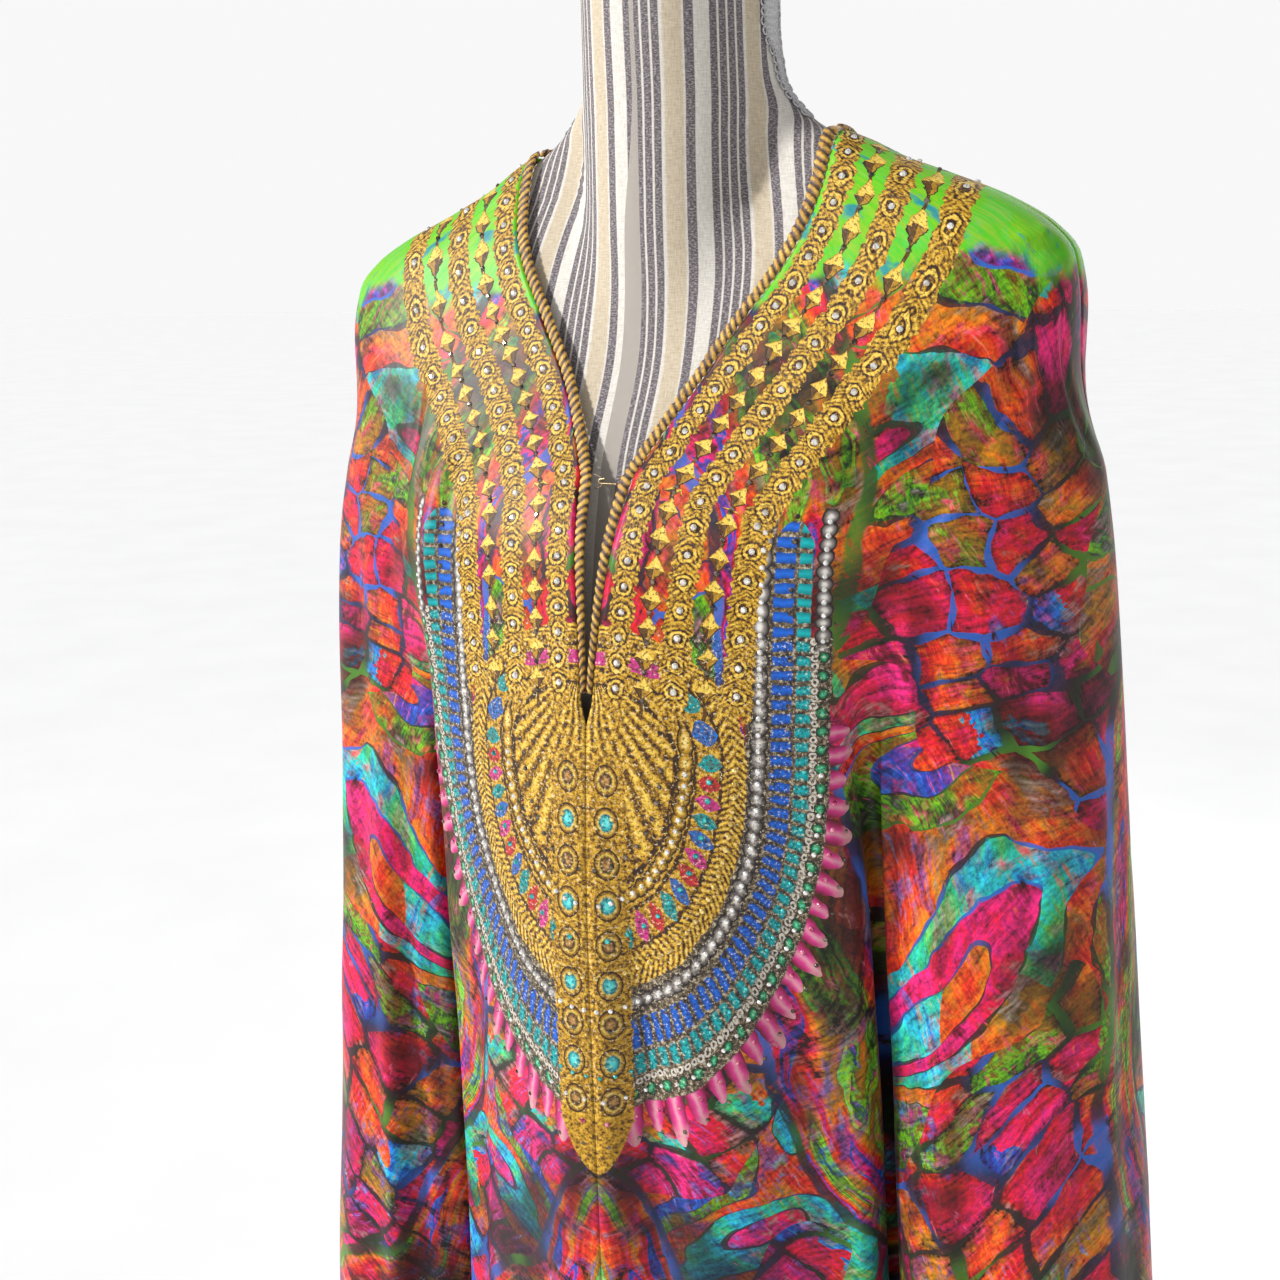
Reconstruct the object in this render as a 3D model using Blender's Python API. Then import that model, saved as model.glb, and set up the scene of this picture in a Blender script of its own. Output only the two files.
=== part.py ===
"""A long kaftan dress hung on a striped dress form with a round-based stand.

Units are metres and +Z is up. The front faces -Y, +X is the wearer's left, and the
origin is the centre of the base's underside, on the floor.

The cloth is a closed wall round the body. Each of its horizontal sections runs from the
centre front (station 0) past the outer edge (station 1) to the centre back (station 2),
on the wearer's left (side +1) and right (side -1). Above the chest a section is the
form's own ring moved out. Below, it goes through the folds that the section tables give.
"""

import math

import bmesh
import bpy
import numpy as np

# Sizes of the cloth
WALL = 0.0015
SEAM_GAP = 0.0003
NECK_POINT_HEIGHT = 1.420
BACK_NECK_HEIGHT = 1.414
V_FOOT_HEIGHT = 1.250
V_FOOT_HALF_GAP = 0.0085
SLIT_END_HEIGHT = 1.136
SLIT_CLOSED_HEIGHT = 1.118
BINDING_WIDTH = 0.0075
BINDING_WIDTH_AT_SLIT_END = 0.003
BINDING_THICKNESS = 0.0032

# The V neck's opening: half its width at each height
V_COLUMNS = ("height", "half_width")
V_NECK = (
    (1.250, 0.0085),
    (1.270, 0.0195),
    (1.290, 0.0310),
    (1.310, 0.0430),
    (1.330, 0.0560),
    (1.345, 0.0660),
    (1.360, 0.0745),
    (1.380, 0.0820),
    (1.400, 0.0850),
    (1.420, 0.0860),
)

# The wearer's right shoulder sits this much lower than the left
LEAN = 0.013

# Arm opening in the outer seam: the seam parts between these heights
ARM_OPENING_TOP = 1.060
ARM_OPENING_FOOT = 0.830
ARM_OPENING_HALF_WIDTH = 0.024

# Where the cloth leaves the form and hangs free
FREE_TOP = 1.340
FREE_FOOT = 1.245
REST_CLEARANCE = 0.0005
LOOSE_CLEARANCE = 0.0030

# Height of the hem at stations round the section: lowest at the outer edges
HEM_COLUMNS = ("station", "height")
HEM = (
    (0.00, 0.150),
    (0.34, 0.140),
    (0.50, 0.110),
    (0.86, 0.078),
    (1.00, 0.074),
    (1.36, 0.100),
    (1.60, 0.132),
    (2.00, 0.142),
)

# The form's rings, from the neck's top to the hip's foot. A ring's front and back are the two
# halves of an oval, rounder or squarer by its power; the neck's front is an oval of its own.
FORM_COLUMNS = ("height", "half_width", "front", "back", "power", "neck_front")
FORM = (
    (1.520, 0.0530, 0.0480, 0.0500, 2.0, 0.0540),
    (1.480, 0.0530, 0.0460, 0.0510, 2.0, 0.0540),
    (1.450, 0.0570, 0.0400, 0.0520, 2.0, 0.0540),
    (1.432, 0.0690, 0.0300, 0.0520, 2.1, 0.0545),
    (1.420, 0.0860, 0.0230, 0.0510, 2.2, 0.0550),
    (1.410, 0.1090, 0.0220, 0.0500, 2.3, 0.0550),
    (1.396, 0.1480, 0.0240, 0.0510, 2.5, 0.0550),
    (1.382, 0.1820, 0.0290, 0.0550, 2.8, 0.0550),
    (1.370, 0.2010, 0.0340, 0.0590, 3.0, 0.0545),
    (1.355, 0.2115, 0.0400, 0.0660, 3.0, 0.0530),
    (1.330, 0.2150, 0.0500, 0.0760, 3.0, 0.0490),
    (1.300, 0.2130, 0.0620, 0.0830, 3.0, 0.0360),
    (1.250, 0.1990, 0.0870, 0.0900, 2.5, 0.0100),
    (1.200, 0.1800, 0.1000, 0.0930, 2.4, 0.0050),
    (1.150, 0.1660, 0.1080, 0.0910, 2.4, 0.0050),
    (1.100, 0.1560, 0.1060, 0.0860, 2.3, 0.0050),
    (1.040, 0.1380, 0.0930, 0.0770, 2.2, 0.0050),
    (1.000, 0.1300, 0.0860, 0.0740, 2.1, 0.0050),
    (0.940, 0.1350, 0.0840, 0.0800, 2.1, 0.0050),
    (0.880, 0.1400, 0.0860, 0.0880, 2.1, 0.0050),
    (0.830, 0.1390, 0.0860, 0.0900, 2.1, 0.0050),
)
NECK_HALF_WIDTH = 0.0545

# The hanging cloth's sections. Each row is one height; x is the distance from the middle.
FRONT_STATIONS = (0.0, 0.34, 0.42, 0.50, 0.68, 0.86, 1.0)
FRONT_COLUMNS = (
    "height",
    "centre_y",
    "edge_x", "edge_y",
    "valley_x", "valley_y",
    "ridge_x", "ridge_y",
    "wing_x", "wing_y",
    "outer_x", "outer_y",
    "seam_x", "seam_y",
)
LEFT_FRONT = (
    (1.300, -0.0680, 0.106, -0.064, 0.128, -0.062, 0.150, -0.059, 0.190, -0.049, 0.2220, -0.006, 0.2200, 0.024),
    (1.200, -0.1190, 0.112, -0.101, 0.134, -0.090, 0.152, -0.080, 0.203, -0.053, 0.2380, -0.004, 0.2330, 0.032),
    (1.100, -0.1300, 0.118, -0.097, 0.136, -0.072, 0.151, -0.070, 0.212, -0.052, 0.2470, -0.002, 0.2390, 0.040),
    (1.000, -0.1340, 0.127, -0.084, 0.141, -0.054, 0.156, -0.069, 0.222, -0.057, 0.2560, 0.000, 0.2460, 0.046),
    (0.800, -0.1310, 0.131, -0.068, 0.142, -0.026, 0.166, -0.074, 0.238, -0.062, 0.2730, 0.000, 0.2620, 0.052),
    (0.450, -0.1280, 0.142, -0.066, 0.150, -0.004, 0.184, -0.090, 0.264, -0.074, 0.3020, -0.002, 0.2890, 0.060),
    (0.070, -0.1250, 0.152, -0.068, 0.158, 0.006, 0.200, -0.104, 0.286, -0.086, 0.3280, -0.004, 0.3130, 0.068),
)
RIGHT_FRONT = (
    (1.300, -0.0680, 0.106, -0.064, 0.128, -0.062, 0.150, -0.059, 0.190, -0.049, 0.2220, -0.006, 0.2200, 0.024),
    (1.200, -0.1190, 0.112, -0.101, 0.134, -0.090, 0.154, -0.077, 0.203, -0.053, 0.2400, -0.004, 0.2340, 0.032),
    (1.100, -0.1300, 0.118, -0.094, 0.136, -0.066, 0.158, -0.060, 0.212, -0.048, 0.2490, -0.002, 0.2400, 0.040),
    (1.000, -0.1340, 0.126, -0.080, 0.138, -0.046, 0.164, -0.056, 0.216, -0.052, 0.2520, 0.000, 0.2420, 0.046),
    (0.800, -0.1310, 0.134, -0.064, 0.142, -0.018, 0.163, -0.050, 0.230, -0.058, 0.2700, 0.000, 0.2590, 0.052),
    (0.450, -0.1280, 0.140, -0.061, 0.147, -0.002, 0.168, -0.052, 0.250, -0.070, 0.2970, -0.002, 0.2840, 0.060),
    (0.070, -0.1250, 0.146, -0.062, 0.152, 0.008, 0.174, -0.056, 0.268, -0.082, 0.3210, -0.004, 0.3060, 0.068),
)
BACK_STATIONS = (1.0, 1.14, 1.36, 1.46, 1.56, 2.0)
BACK_COLUMNS = (
    "height",
    "rear_wing_x", "rear_wing_y",
    "rear_ridge_x", "rear_ridge_y",
    "rear_valley_x", "rear_valley_y",
    "rear_edge_x", "rear_edge_y",
    "centre_y",
)
BACK = (
    (1.300, 0.206, 0.052, 0.152, 0.078, 0.130, 0.083, 0.106, 0.087, 0.0900),
    (1.200, 0.216, 0.058, 0.160, 0.084, 0.136, 0.088, 0.110, 0.095, 0.1030),
    (1.100, 0.220, 0.066, 0.164, 0.086, 0.140, 0.084, 0.114, 0.096, 0.1070),
    (1.000, 0.225, 0.074, 0.168, 0.088, 0.143, 0.075, 0.118, 0.097, 0.1120),
    (0.800, 0.238, 0.084, 0.174, 0.098, 0.148, 0.062, 0.124, 0.102, 0.1240),
    (0.450, 0.262, 0.098, 0.188, 0.114, 0.154, 0.046, 0.132, 0.110, 0.1360),
    (0.070, 0.284, 0.110, 0.202, 0.126, 0.160, 0.036, 0.140, 0.118, 0.1440),
)

# Softer folds, raised (+) or sunk (-) on the hanging wall: they start at top and are full at foot
FOLD_COLUMNS = ("side", "station", "half_width", "height", "top", "foot")
FOLDS = (
    (1, 0.045, 0.060, -0.0050, 1.02, 0.70),
    (1, 0.210, 0.060, 0.0050, 1.05, 0.75),
    (1, 0.275, 0.045, -0.0035, 1.00, 0.60),
    (1, 0.590, 0.055, -0.0070, 0.98, 0.55),
    (1, 0.760, 0.070, 0.0060, 0.85, 0.40),
    (-1, 0.060, 0.060, -0.0040, 0.98, 0.66),
    (-1, 0.200, 0.070, 0.0055, 1.00, 0.60),
    (-1, 0.620, 0.070, -0.0060, 0.85, 0.45),
    (1, 1.240, 0.070, -0.0070, 0.95, 0.50),
    (1, 1.680, 0.080, -0.0080, 1.00, 0.45),
    (1, 1.820, 0.070, 0.0070, 1.10, 0.60),
    (-1, 1.220, 0.080, -0.0080, 0.90, 0.45),
    (-1, 1.700, 0.070, 0.0070, 1.05, 0.55),
    (-1, 1.860, 0.070, -0.0080, 0.95, 0.40),
)

# Columns and rows of the cloth's grid. The back's first column is just behind the seam.
FRONT_COLUMNS_AT = (
    0.0, 0.05, 0.10, 0.15, 0.20, 0.25, 0.295, 0.325, 0.345, 0.365, 0.39, 0.42, 0.45, 0.475,
    0.495, 0.515, 0.55, 0.60, 0.68, 0.76, 0.82, 0.87, 0.91, 0.95, 1.0,
)
BACK_COLUMNS_AT = (
    1.0001, 1.05, 1.10, 1.16, 1.24, 1.31, 1.35, 1.38, 1.42, 1.46, 1.50, 1.54, 1.58, 1.66, 1.76, 1.88, 2.0,
)
ROW_SHARES = (
    0.0, 0.009, 0.019, 0.029, 0.039, 0.049, 0.059, 0.069, 0.079, 0.089, 0.099, 0.110, 0.124, 0.142,
    0.165, 0.195, 0.230, 0.270, 0.315, 0.365, 0.42, 0.48, 0.545, 0.61, 0.68, 0.755, 0.835, 0.918, 1.0,
)
SEAM_STATION_LENGTH = 0.26
FORM_STATIONS = tuple(i / 16 for i in range(33))

# Colours
SILK_COLOUR = (0.72, 0.16, 0.32)
BRAID_COLOUR = (0.62, 0.44, 0.16)
LINEN_COLOUR = (0.70, 0.64, 0.55)
STEEL_COLOUR = (0.05, 0.05, 0.055)

# The form's small pieces and its stand
LACE_WIDTH = 0.016
LACE_THICKNESS = 0.0016
CAP_INSET = 0.0010
CAP_THICKNESS = 0.006
BOARD_THICKNESS = 0.012
BOARD_INSET = 0.004
POLE_RADIUS = 0.0125
BASE_RADIUS = 0.150
BASE_THICKNESS = 0.012
PIECE_GAP = 0.0003

LEFT, RIGHT = 1, -1


def clear_scene():
    for obj in list(bpy.data.objects):
        bpy.data.objects.remove(obj, do_unlink=True)


def smooth_step(value, start, end):
    """0 before start, 1 after end, eased between."""
    share = min(1.0, max(0.0, (value - start) / (end - start)))
    return share * share * (3 - 2 * share)


def spline(knots, values, at):
    """A smooth curve through values at knots, with no overshoot between them."""
    knots, values = np.asarray(knots, float), np.asarray(values, float)
    steps = np.diff(knots)
    slopes = np.diff(values) / steps
    tangents = np.empty(len(knots))
    tangents[0], tangents[-1] = slopes[0], slopes[-1]
    for i in range(1, len(knots) - 1):
        before, after = slopes[i - 1], slopes[i]
        if before * after <= 0:
            tangents[i] = 0.0
        else:
            weight_a = 2 * steps[i] + steps[i - 1]
            weight_b = steps[i] + 2 * steps[i - 1]
            tangents[i] = (weight_a + weight_b) / (weight_a / before + weight_b / after)
    i = int(np.clip(np.searchsorted(knots, at) - 1, 0, len(steps) - 1))
    t = (min(max(at, knots[0]), knots[-1]) - knots[i]) / steps[i]
    return (
        (1 + 2 * t) * (1 - t) ** 2 * values[i]
        + t * (1 - t) ** 2 * steps[i] * tangents[i]
        + t * t * (3 - 2 * t) * values[i + 1]
        + t * t * (t - 1) * steps[i] * tangents[i + 1]
    )


def table_value(table, columns, name, height):
    """One column of a table, read at a height between its rows."""
    rows = sorted(table)
    at = columns.index(name)
    return spline([row[0] for row in rows], [row[at] for row in rows], height)


def through(stations, points, at):
    """A rounded curve through points in the plane, one at each station."""
    stations = np.asarray(stations, float)
    points = np.asarray(points, float)
    i = int(np.clip(np.searchsorted(stations, at) - 1, 1, len(stations) - 3))
    s0, s1, s2, s3 = stations[i - 1 : i + 3]
    p0, p1, p2, p3 = points[i - 1 : i + 3]
    t = (at - s1) / (s2 - s1)
    m1 = (p2 - p0) / (s2 - s0) * (s2 - s1)
    m2 = (p3 - p1) / (s3 - s1) * (s2 - s1)
    return (
        (2 * t**3 - 3 * t**2 + 1) * p1
        + (t**3 - 2 * t**2 + t) * m1
        + (3 * t**2 - 2 * t**3) * p2
        + (t**3 - t**2) * m2
    )


def form_point(side, station, height):
    """A point of the form's surface."""
    angle = station * math.pi / 2
    half_width = table_value(FORM, FORM_COLUMNS, "half_width", height)
    power = table_value(FORM, FORM_COLUMNS, "power", height)
    across = math.sin(angle)
    x = half_width * across
    fullness = (1 - min(1.0, abs(across)) ** power) ** (1 / power)
    if station >= 1:
        y = table_value(FORM, FORM_COLUMNS, "back", height) * fullness
    else:
        chest = table_value(FORM, FORM_COLUMNS, "front", height) * fullness
        neck = table_value(FORM, FORM_COLUMNS, "neck_front", height)
        neck *= math.sqrt(max(0.0, 1 - (x / NECK_HALF_WIDTH) ** 2))
        y = -((chest**6 + neck**6) ** (1 / 6))
    return np.array([side * x, y, height])


def settle(point):
    """The lean of the shoulders, the last step for every point of the form and the cloth."""
    x, y, z = point
    drop = LEAN * smooth_step(-x, 0.03, 0.17) * smooth_step(z, 1.12, 1.36)
    return np.array([x, y, z - drop])


def section_controls(side, height):
    """The hanging section's stations and points, from past the centre front to past the centre back."""
    front = LEFT_FRONT if side == LEFT else RIGHT_FRONT
    stations, points = [], []
    for station, name in zip(FRONT_STATIONS, ("centre", "edge", "valley", "ridge", "wing", "outer", "seam")):
        x = 0.0 if name == "centre" else table_value(front, FRONT_COLUMNS, name + "_x", height)
        y = table_value(front, FRONT_COLUMNS, name + "_y", height)
        stations.append(station)
        points.append((x, y))
    names = ("seam", "rear_wing", "rear_ridge", "rear_valley", "rear_edge", "centre")
    for station, name in list(zip(BACK_STATIONS, names))[1:]:
        x = 0.0 if name == "centre" else table_value(BACK, BACK_COLUMNS, name + "_x", height)
        y = table_value(BACK, BACK_COLUMNS, name + "_y", height)
        stations.append(station)
        points.append((x, y))
    stations = [-stations[1], *stations, 4.0 - stations[-2]]
    points = [(-points[1][0], points[1][1]), *points, (-points[-2][0], points[-2][1])]
    return stations, points


def hanging_point(side, station, height):
    """A point of the free cloth, before the softer folds."""
    stations, points = section_controls(side, height)
    x, y = through(stations, points, station)
    return np.array([side * x, y, height])


def resting_share(station, height):
    """How closely the cloth rests on the form here: 1 along the middle of each shoulder."""
    on_ridge = 1 - smooth_step(abs(station - 1), 0.10, 0.45)
    on_slope = smooth_step(height, 1.352, 1.376) * (1 - smooth_step(height, 1.402, 1.412))
    return on_ridge * on_slope


def outward(function, side, station, height):
    """The unit normal of a surface function, facing away from the body."""
    step = 0.004
    along = function(side, station + step, height) - function(side, station - step, height)
    down = function(side, station, height - step) - function(side, station, height + step)
    normal = np.cross(down, along) * side
    return normal / np.linalg.norm(normal)


def worn_point(side, station, height):
    """The cloth where it lies on the form: the form's surface moved out."""
    resting = resting_share(station, height)
    clearance = LOOSE_CLEARANCE + (REST_CLEARANCE - LOOSE_CLEARANCE) * resting
    point = form_point(side, station, height)
    return point + outward(form_point, side, station, height) * (clearance + WALL)


def base_cloth_point(side, station, height):
    free = 1 - smooth_step(height, FREE_FOOT, FREE_TOP)
    if free <= 0:
        return worn_point(side, station, height)
    hanging = hanging_point(side, station, height)
    if free >= 1:
        return hanging
    return worn_point(side, station, height) * (1 - free) + hanging * free


def fold_height(side, station, height):
    """The softer folds' rise above the hanging wall."""
    rise = 0.0
    for fold_side, centre, half_width, size, top, foot in FOLDS:
        if fold_side != side:
            continue
        across = abs(station - centre) / half_width
        if across < 1:
            rise += size * math.cos(across * math.pi / 2) ** 2 * (1 - smooth_step(height, foot, top))
    return rise


def cloth_point(side, station, height):
    """A point of the cloth's outer face."""
    point = base_cloth_point(side, station, height)
    rise = fold_height(side, station, height)
    if rise == 0.0:
        return point
    return point + outward(base_cloth_point, side, station, height) * rise


def v_edge_x(height):
    """How far the V neck's edge lies from the centre at a height."""
    return table_value(V_NECK, V_COLUMNS, "half_width", height)


def station_at(side, x, height):
    """The front's station where the cloth is x from the centre."""
    low, high = 0.0, 1.0
    for _ in range(26):
        middle = (low + high) / 2
        if abs(cloth_point(side, middle, height)[0]) < x:
            low = middle
        else:
            high = middle
    return (low + high) / 2


def height_where(side, station, half_width_at):
    """The height where a grid column meets a line round the neck, given as half its width at a height."""
    low, high = V_FOOT_HEIGHT, NECK_POINT_HEIGHT
    for _ in range(24):
        middle = (low + high) / 2
        if abs(panel_point(side, station, middle)[0]) > half_width_at(middle):
            low = middle
        else:
            high = middle
    return (low + high) / 2


def panel_edge_x(height):
    return v_edge_x(height) + BINDING_WIDTH + SEAM_GAP


def neckline_height(side, station):
    """The height where a panel starts at a station, below the binding."""
    if station <= 1:
        return height_where(side, station, panel_edge_x)
    share = smooth_step(station, 1.0, 1.8)
    drop = 0.0036 + 0.0040 * share
    return NECK_POINT_HEIGHT + (BACK_NECK_HEIGHT - NECK_POINT_HEIGHT) * share - drop


def hem_height(station):
    return spline([row[0] for row in HEM], [row[1] for row in HEM], station)


def centre_front_gap(height):
    """Half the gap between the two fronts: the seam, the slit above it, and the binding in the slit."""
    seam = SEAM_GAP / 2
    if height <= SLIT_CLOSED_HEIGHT:
        return seam
    share = (height - SLIT_END_HEIGHT) / (V_FOOT_HEIGHT - SLIT_END_HEIGHT)
    share = min(1.0, max(0.0, share))
    open_half = SEAM_GAP + (V_FOOT_HALF_GAP - SEAM_GAP) * share**1.5
    binding = BINDING_WIDTH_AT_SLIT_END + (BINDING_WIDTH - BINDING_WIDTH_AT_SLIT_END) * share
    slit = open_half + binding + SEAM_GAP
    return seam + (slit - seam) * smooth_step(height, SLIT_CLOSED_HEIGHT, SLIT_END_HEIGHT)


def arm_opening(height):
    """Half the width of the arm opening at a height: the seam's own gap outside it."""
    middle = (ARM_OPENING_TOP + ARM_OPENING_FOOT) / 2
    share = abs(height - middle) / ((ARM_OPENING_TOP - ARM_OPENING_FOOT) / 2)
    if share >= 1:
        return SEAM_GAP / 2
    return SEAM_GAP / 2 + ARM_OPENING_HALF_WIDTH * math.cos(share * math.pi / 2) ** 0.7


def panel_station(side, station, height):
    """The station on the cloth for a grid column: moved aside at the centre and at the outer seam."""
    if station <= 1:
        share = smooth_step(station, 0.78, 1.0)
        return station - share * arm_opening(height) / SEAM_STATION_LENGTH
    share = 1 - smooth_step(station, 1.0, 1.2)
    return station + share * arm_opening(height) / SEAM_STATION_LENGTH


def panel_point(side, station, height):
    """A point of a panel's outer face, with its seam gaps."""
    point = cloth_point(side, panel_station(side, station, height), height)
    if station < 0.12:
        point[0] += side * centre_front_gap(height) * (1 - smooth_step(station, 0.0, 0.12))
    return point


def column_heights(side, station, shares):
    """The heights of a column's rows, set out at shares of the cloth's length down it."""
    if abs(station - 1) < 0.001:
        station = 1.0
    top, foot = neckline_height(side, station), hem_height(station)
    heights = [top + (foot - top) * (i / 90) ** 1.6 for i in range(91)]
    points = np.array([cloth_point(side, station, height) for height in heights])
    lengths = np.concatenate([[0.0], np.cumsum(np.linalg.norm(np.diff(points, axis=0), axis=1))])
    return np.interp(np.asarray(shares) * lengths[-1], lengths, heights)


def panel_grid(places, shares):
    """A panel's outer points, rows down and columns along the (side, station) places."""
    columns = []
    for side, station in places:
        heights = column_heights(side, station, shares)
        columns.append([panel_point(side, station, height) for height in heights])
    return np.array(columns).transpose(1, 0, 2)


def inner_face(outer, facing, edge_normals):
    """The wall's inner face: the outer grid moved in by the wall's thickness.

    edge_normals gives a column's normals where two panels meet, so that both turn in alike.
    """
    down = np.gradient(outer, axis=0)
    along = np.gradient(outer, axis=1)
    normals = np.cross(down, along) * facing
    for column, given in edge_normals.items():
        normals[:, column] = given
    normals /= np.linalg.norm(normals, axis=2)[:, :, None]
    return outer - normals * WALL


def seam_normals(side):
    return [outward(cloth_point, side, 1.0, height) for height in column_heights(side, 1.0, ROW_SHARES)]


def centre_normals():
    normals = [outward(cloth_point, LEFT, 0.0, height) for height in column_heights(LEFT, 0.0, ROW_SHARES)]
    return [(0.0, y, z) for _, y, z in normals]


def principled(name, colour, roughness, metallic=0.0):
    material = bpy.data.materials.new(name)
    material.use_nodes = True
    shader = material.node_tree.nodes["Principled BSDF"]
    shader.inputs["Base Color"].default_value = (*colour, 1.0)
    shader.inputs["Roughness"].default_value = roughness
    shader.inputs["Metallic"].default_value = metallic
    return material


def solid(name, points, faces, colour, roughness, metallic=0.0):
    """A named closed body from points and faces, with its own material and its faces turned out."""
    mesh = bpy.data.meshes.new(name)
    mesh.from_pydata([tuple(map(float, point)) for point in points], [], faces)
    body = bmesh.new()
    body.from_mesh(mesh)
    bmesh.ops.recalc_face_normals(body, faces=body.faces)
    if body.calc_volume(signed=True) < 0:
        bmesh.ops.reverse_faces(body, faces=body.faces)
    body.to_mesh(mesh)
    body.free()
    mesh.materials.append(principled(name + "_material", colour, roughness, metallic))
    obj = bpy.data.objects.new(name, mesh)
    bpy.context.scene.collection.objects.link(obj)
    return obj


def wall_solid(name, outer, inner, colour, roughness):
    """A closed wall between two grids of the same size."""
    rows, columns = outer.shape[:2]
    points = np.concatenate([outer.reshape(-1, 3), inner.reshape(-1, 3)])
    half = rows * columns
    faces = []
    for r in range(rows - 1):
        for c in range(columns - 1):
            a, b = r * columns + c, (r + 1) * columns + c
            faces.append((a, b, b + 1, a + 1))
            faces.append((half + a, half + a + 1, half + b + 1, half + b))
    border = [(0, c) for c in range(columns)]
    border += [(r, columns - 1) for r in range(1, rows)]
    border += [(rows - 1, c) for c in range(columns - 2, -1, -1)]
    border += [(r, 0) for r in range(rows - 2, 0, -1)]
    for i, (r, c) in enumerate(border):
        next_r, next_c = border[(i + 1) % len(border)]
        a, b = r * columns + c, next_r * columns + next_c
        faces.append((a, b, half + b, half + a))
    return solid(name, points, faces, colour, roughness)


def rings_solid(name, rings, colour, roughness, metallic=0.0):
    """A closed body through rings with the same number of points, capped at both ends."""
    count = len(rings[0])
    points = [point for ring in rings for point in ring]
    faces = []
    for r in range(len(rings) - 1):
        for i in range(count):
            a, b = r * count + i, r * count + (i + 1) % count
            faces.append((a, b, b + count, a + count))
    for start in (0, (len(rings) - 1) * count):
        middle = len(points)
        points.append(np.mean([points[start + i] for i in range(count)], axis=0))
        for i in range(count):
            faces.append((start + i, start + (i + 1) % count, middle))
    return solid(name, points, faces, colour, roughness, metallic)


def turned_solid(name, profile, sides, colour, roughness, metallic=0.0):
    """A closed body turned about the pole's axis from (radius, height) pairs, foot first."""
    rings = []
    for radius, height in profile:
        angles = [2 * math.pi * i / sides for i in range(sides)]
        rings.append([np.array([radius * math.cos(a), radius * math.sin(a), height]) for a in angles])
    return rings_solid(name, rings, colour, roughness, metallic)


def panel(name, places, facing, edge_normals):
    outer = panel_grid(places, ROW_SHARES)
    inner = inner_face(outer, facing, edge_normals)
    outer = np.apply_along_axis(settle, 2, outer)
    inner = np.apply_along_axis(settle, 2, inner)
    return wall_solid(name, outer, inner, SILK_COLOUR, 0.45)


def front_panel(side):
    name = "kaftan_front_left" if side == LEFT else "kaftan_front_right"
    places = [(side, station) for station in FRONT_COLUMNS_AT]
    return panel(name, places, side, {0: centre_normals(), -1: seam_normals(side)})


def back_panel():
    places = [(LEFT, station) for station in BACK_COLUMNS_AT]
    places += [(RIGHT, station) for station in BACK_COLUMNS_AT[-2::-1]]
    return panel("kaftan_back", places, 1, {0: seam_normals(LEFT), -1: seam_normals(RIGHT)})


def strip_rings(inner_edge, outer_edge, normals, rise):
    """Rings of a flat strip with a rounded top, between two edge lines on the cloth's inner level."""
    rings = []
    for a, b, normal in zip(inner_edge, outer_edge, normals):
        across = b - a
        rings.append([
            settle(a),
            settle(b),
            settle(b + normal * rise * 0.62),
            settle(a + across * 0.72 + normal * rise),
            settle(a + across * 0.28 + normal * rise),
            settle(a + normal * rise * 0.62),
        ])
    return rings


def front_binding(side):
    """The narrow binding of one front: up the slit and the V neck, to the shoulder seam."""
    inner_edge, outer_edge, normals = [], [], []

    def add(near, far):
        for (station, height), line in ((near, inner_edge), (far, outer_edge)):
            normal = outward(cloth_point, side, station, height)
            line.append(cloth_point(side, station, height) - normal * WALL)
        normals.append(normal)

    lowest, highest = SLIT_END_HEIGHT + 0.004, V_FOOT_HEIGHT - 0.004
    slit_rows = [h for h in column_heights(side, 0.0, ROW_SHARES) if lowest < h < highest]
    for height in [SLIT_END_HEIGHT + 0.0015, *reversed(slit_rows)]:
        share = (height - SLIT_END_HEIGHT) / (V_FOOT_HEIGHT - SLIT_END_HEIGHT)
        near_x = SEAM_GAP + (V_FOOT_HALF_GAP - SEAM_GAP) * share**1.5
        far_x = centre_front_gap(height) - SEAM_GAP
        add((station_at(side, near_x, height), height), (station_at(side, far_x, height), height))
    for station in [*FRONT_COLUMNS_AT[:-1], 0.99]:
        far_height = neckline_height(side, station)
        far_x = v_edge_x(far_height) + BINDING_WIDTH
        far = (station_at(side, far_x, far_height), far_height)
        near = (station_at(side, v_edge_x(far_height), far_height), far_height)
        if station > 0.38:
            near = (station, height_where(side, station, v_edge_x))
        add(near, far)
    rings = strip_rings(inner_edge, outer_edge, normals, BINDING_THICKNESS)
    name = "neck_binding_left" if side == LEFT else "neck_binding_right"
    return rings_solid(name, rings, BRAID_COLOUR, 0.5)


def back_binding():
    """The binding round the back of the neck, from shoulder seam to shoulder seam."""
    inner_edge, outer_edge, normals = [], [], []
    stations = [1.01, *BACK_COLUMNS_AT[1:]]
    places = [(LEFT, station) for station in stations]
    places += [(RIGHT, station) for station in reversed(stations[:-1])]
    for side, station in places:
        share = smooth_step(station, 1.0, 1.8)
        top = NECK_POINT_HEIGHT + (BACK_NECK_HEIGHT - NECK_POINT_HEIGHT) * share
        foot = neckline_height(side, station) + 0.0006
        for height, line in ((top, inner_edge), (foot, outer_edge)):
            normal = outward(cloth_point, side, station, height)
            line.append(cloth_point(side, station, height) - normal * WALL)
        normals.append(normal)
    rings = strip_rings(inner_edge, outer_edge, normals, BINDING_THICKNESS)
    return rings_solid("neck_binding_back", rings, BRAID_COLOUR, 0.5)


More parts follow.
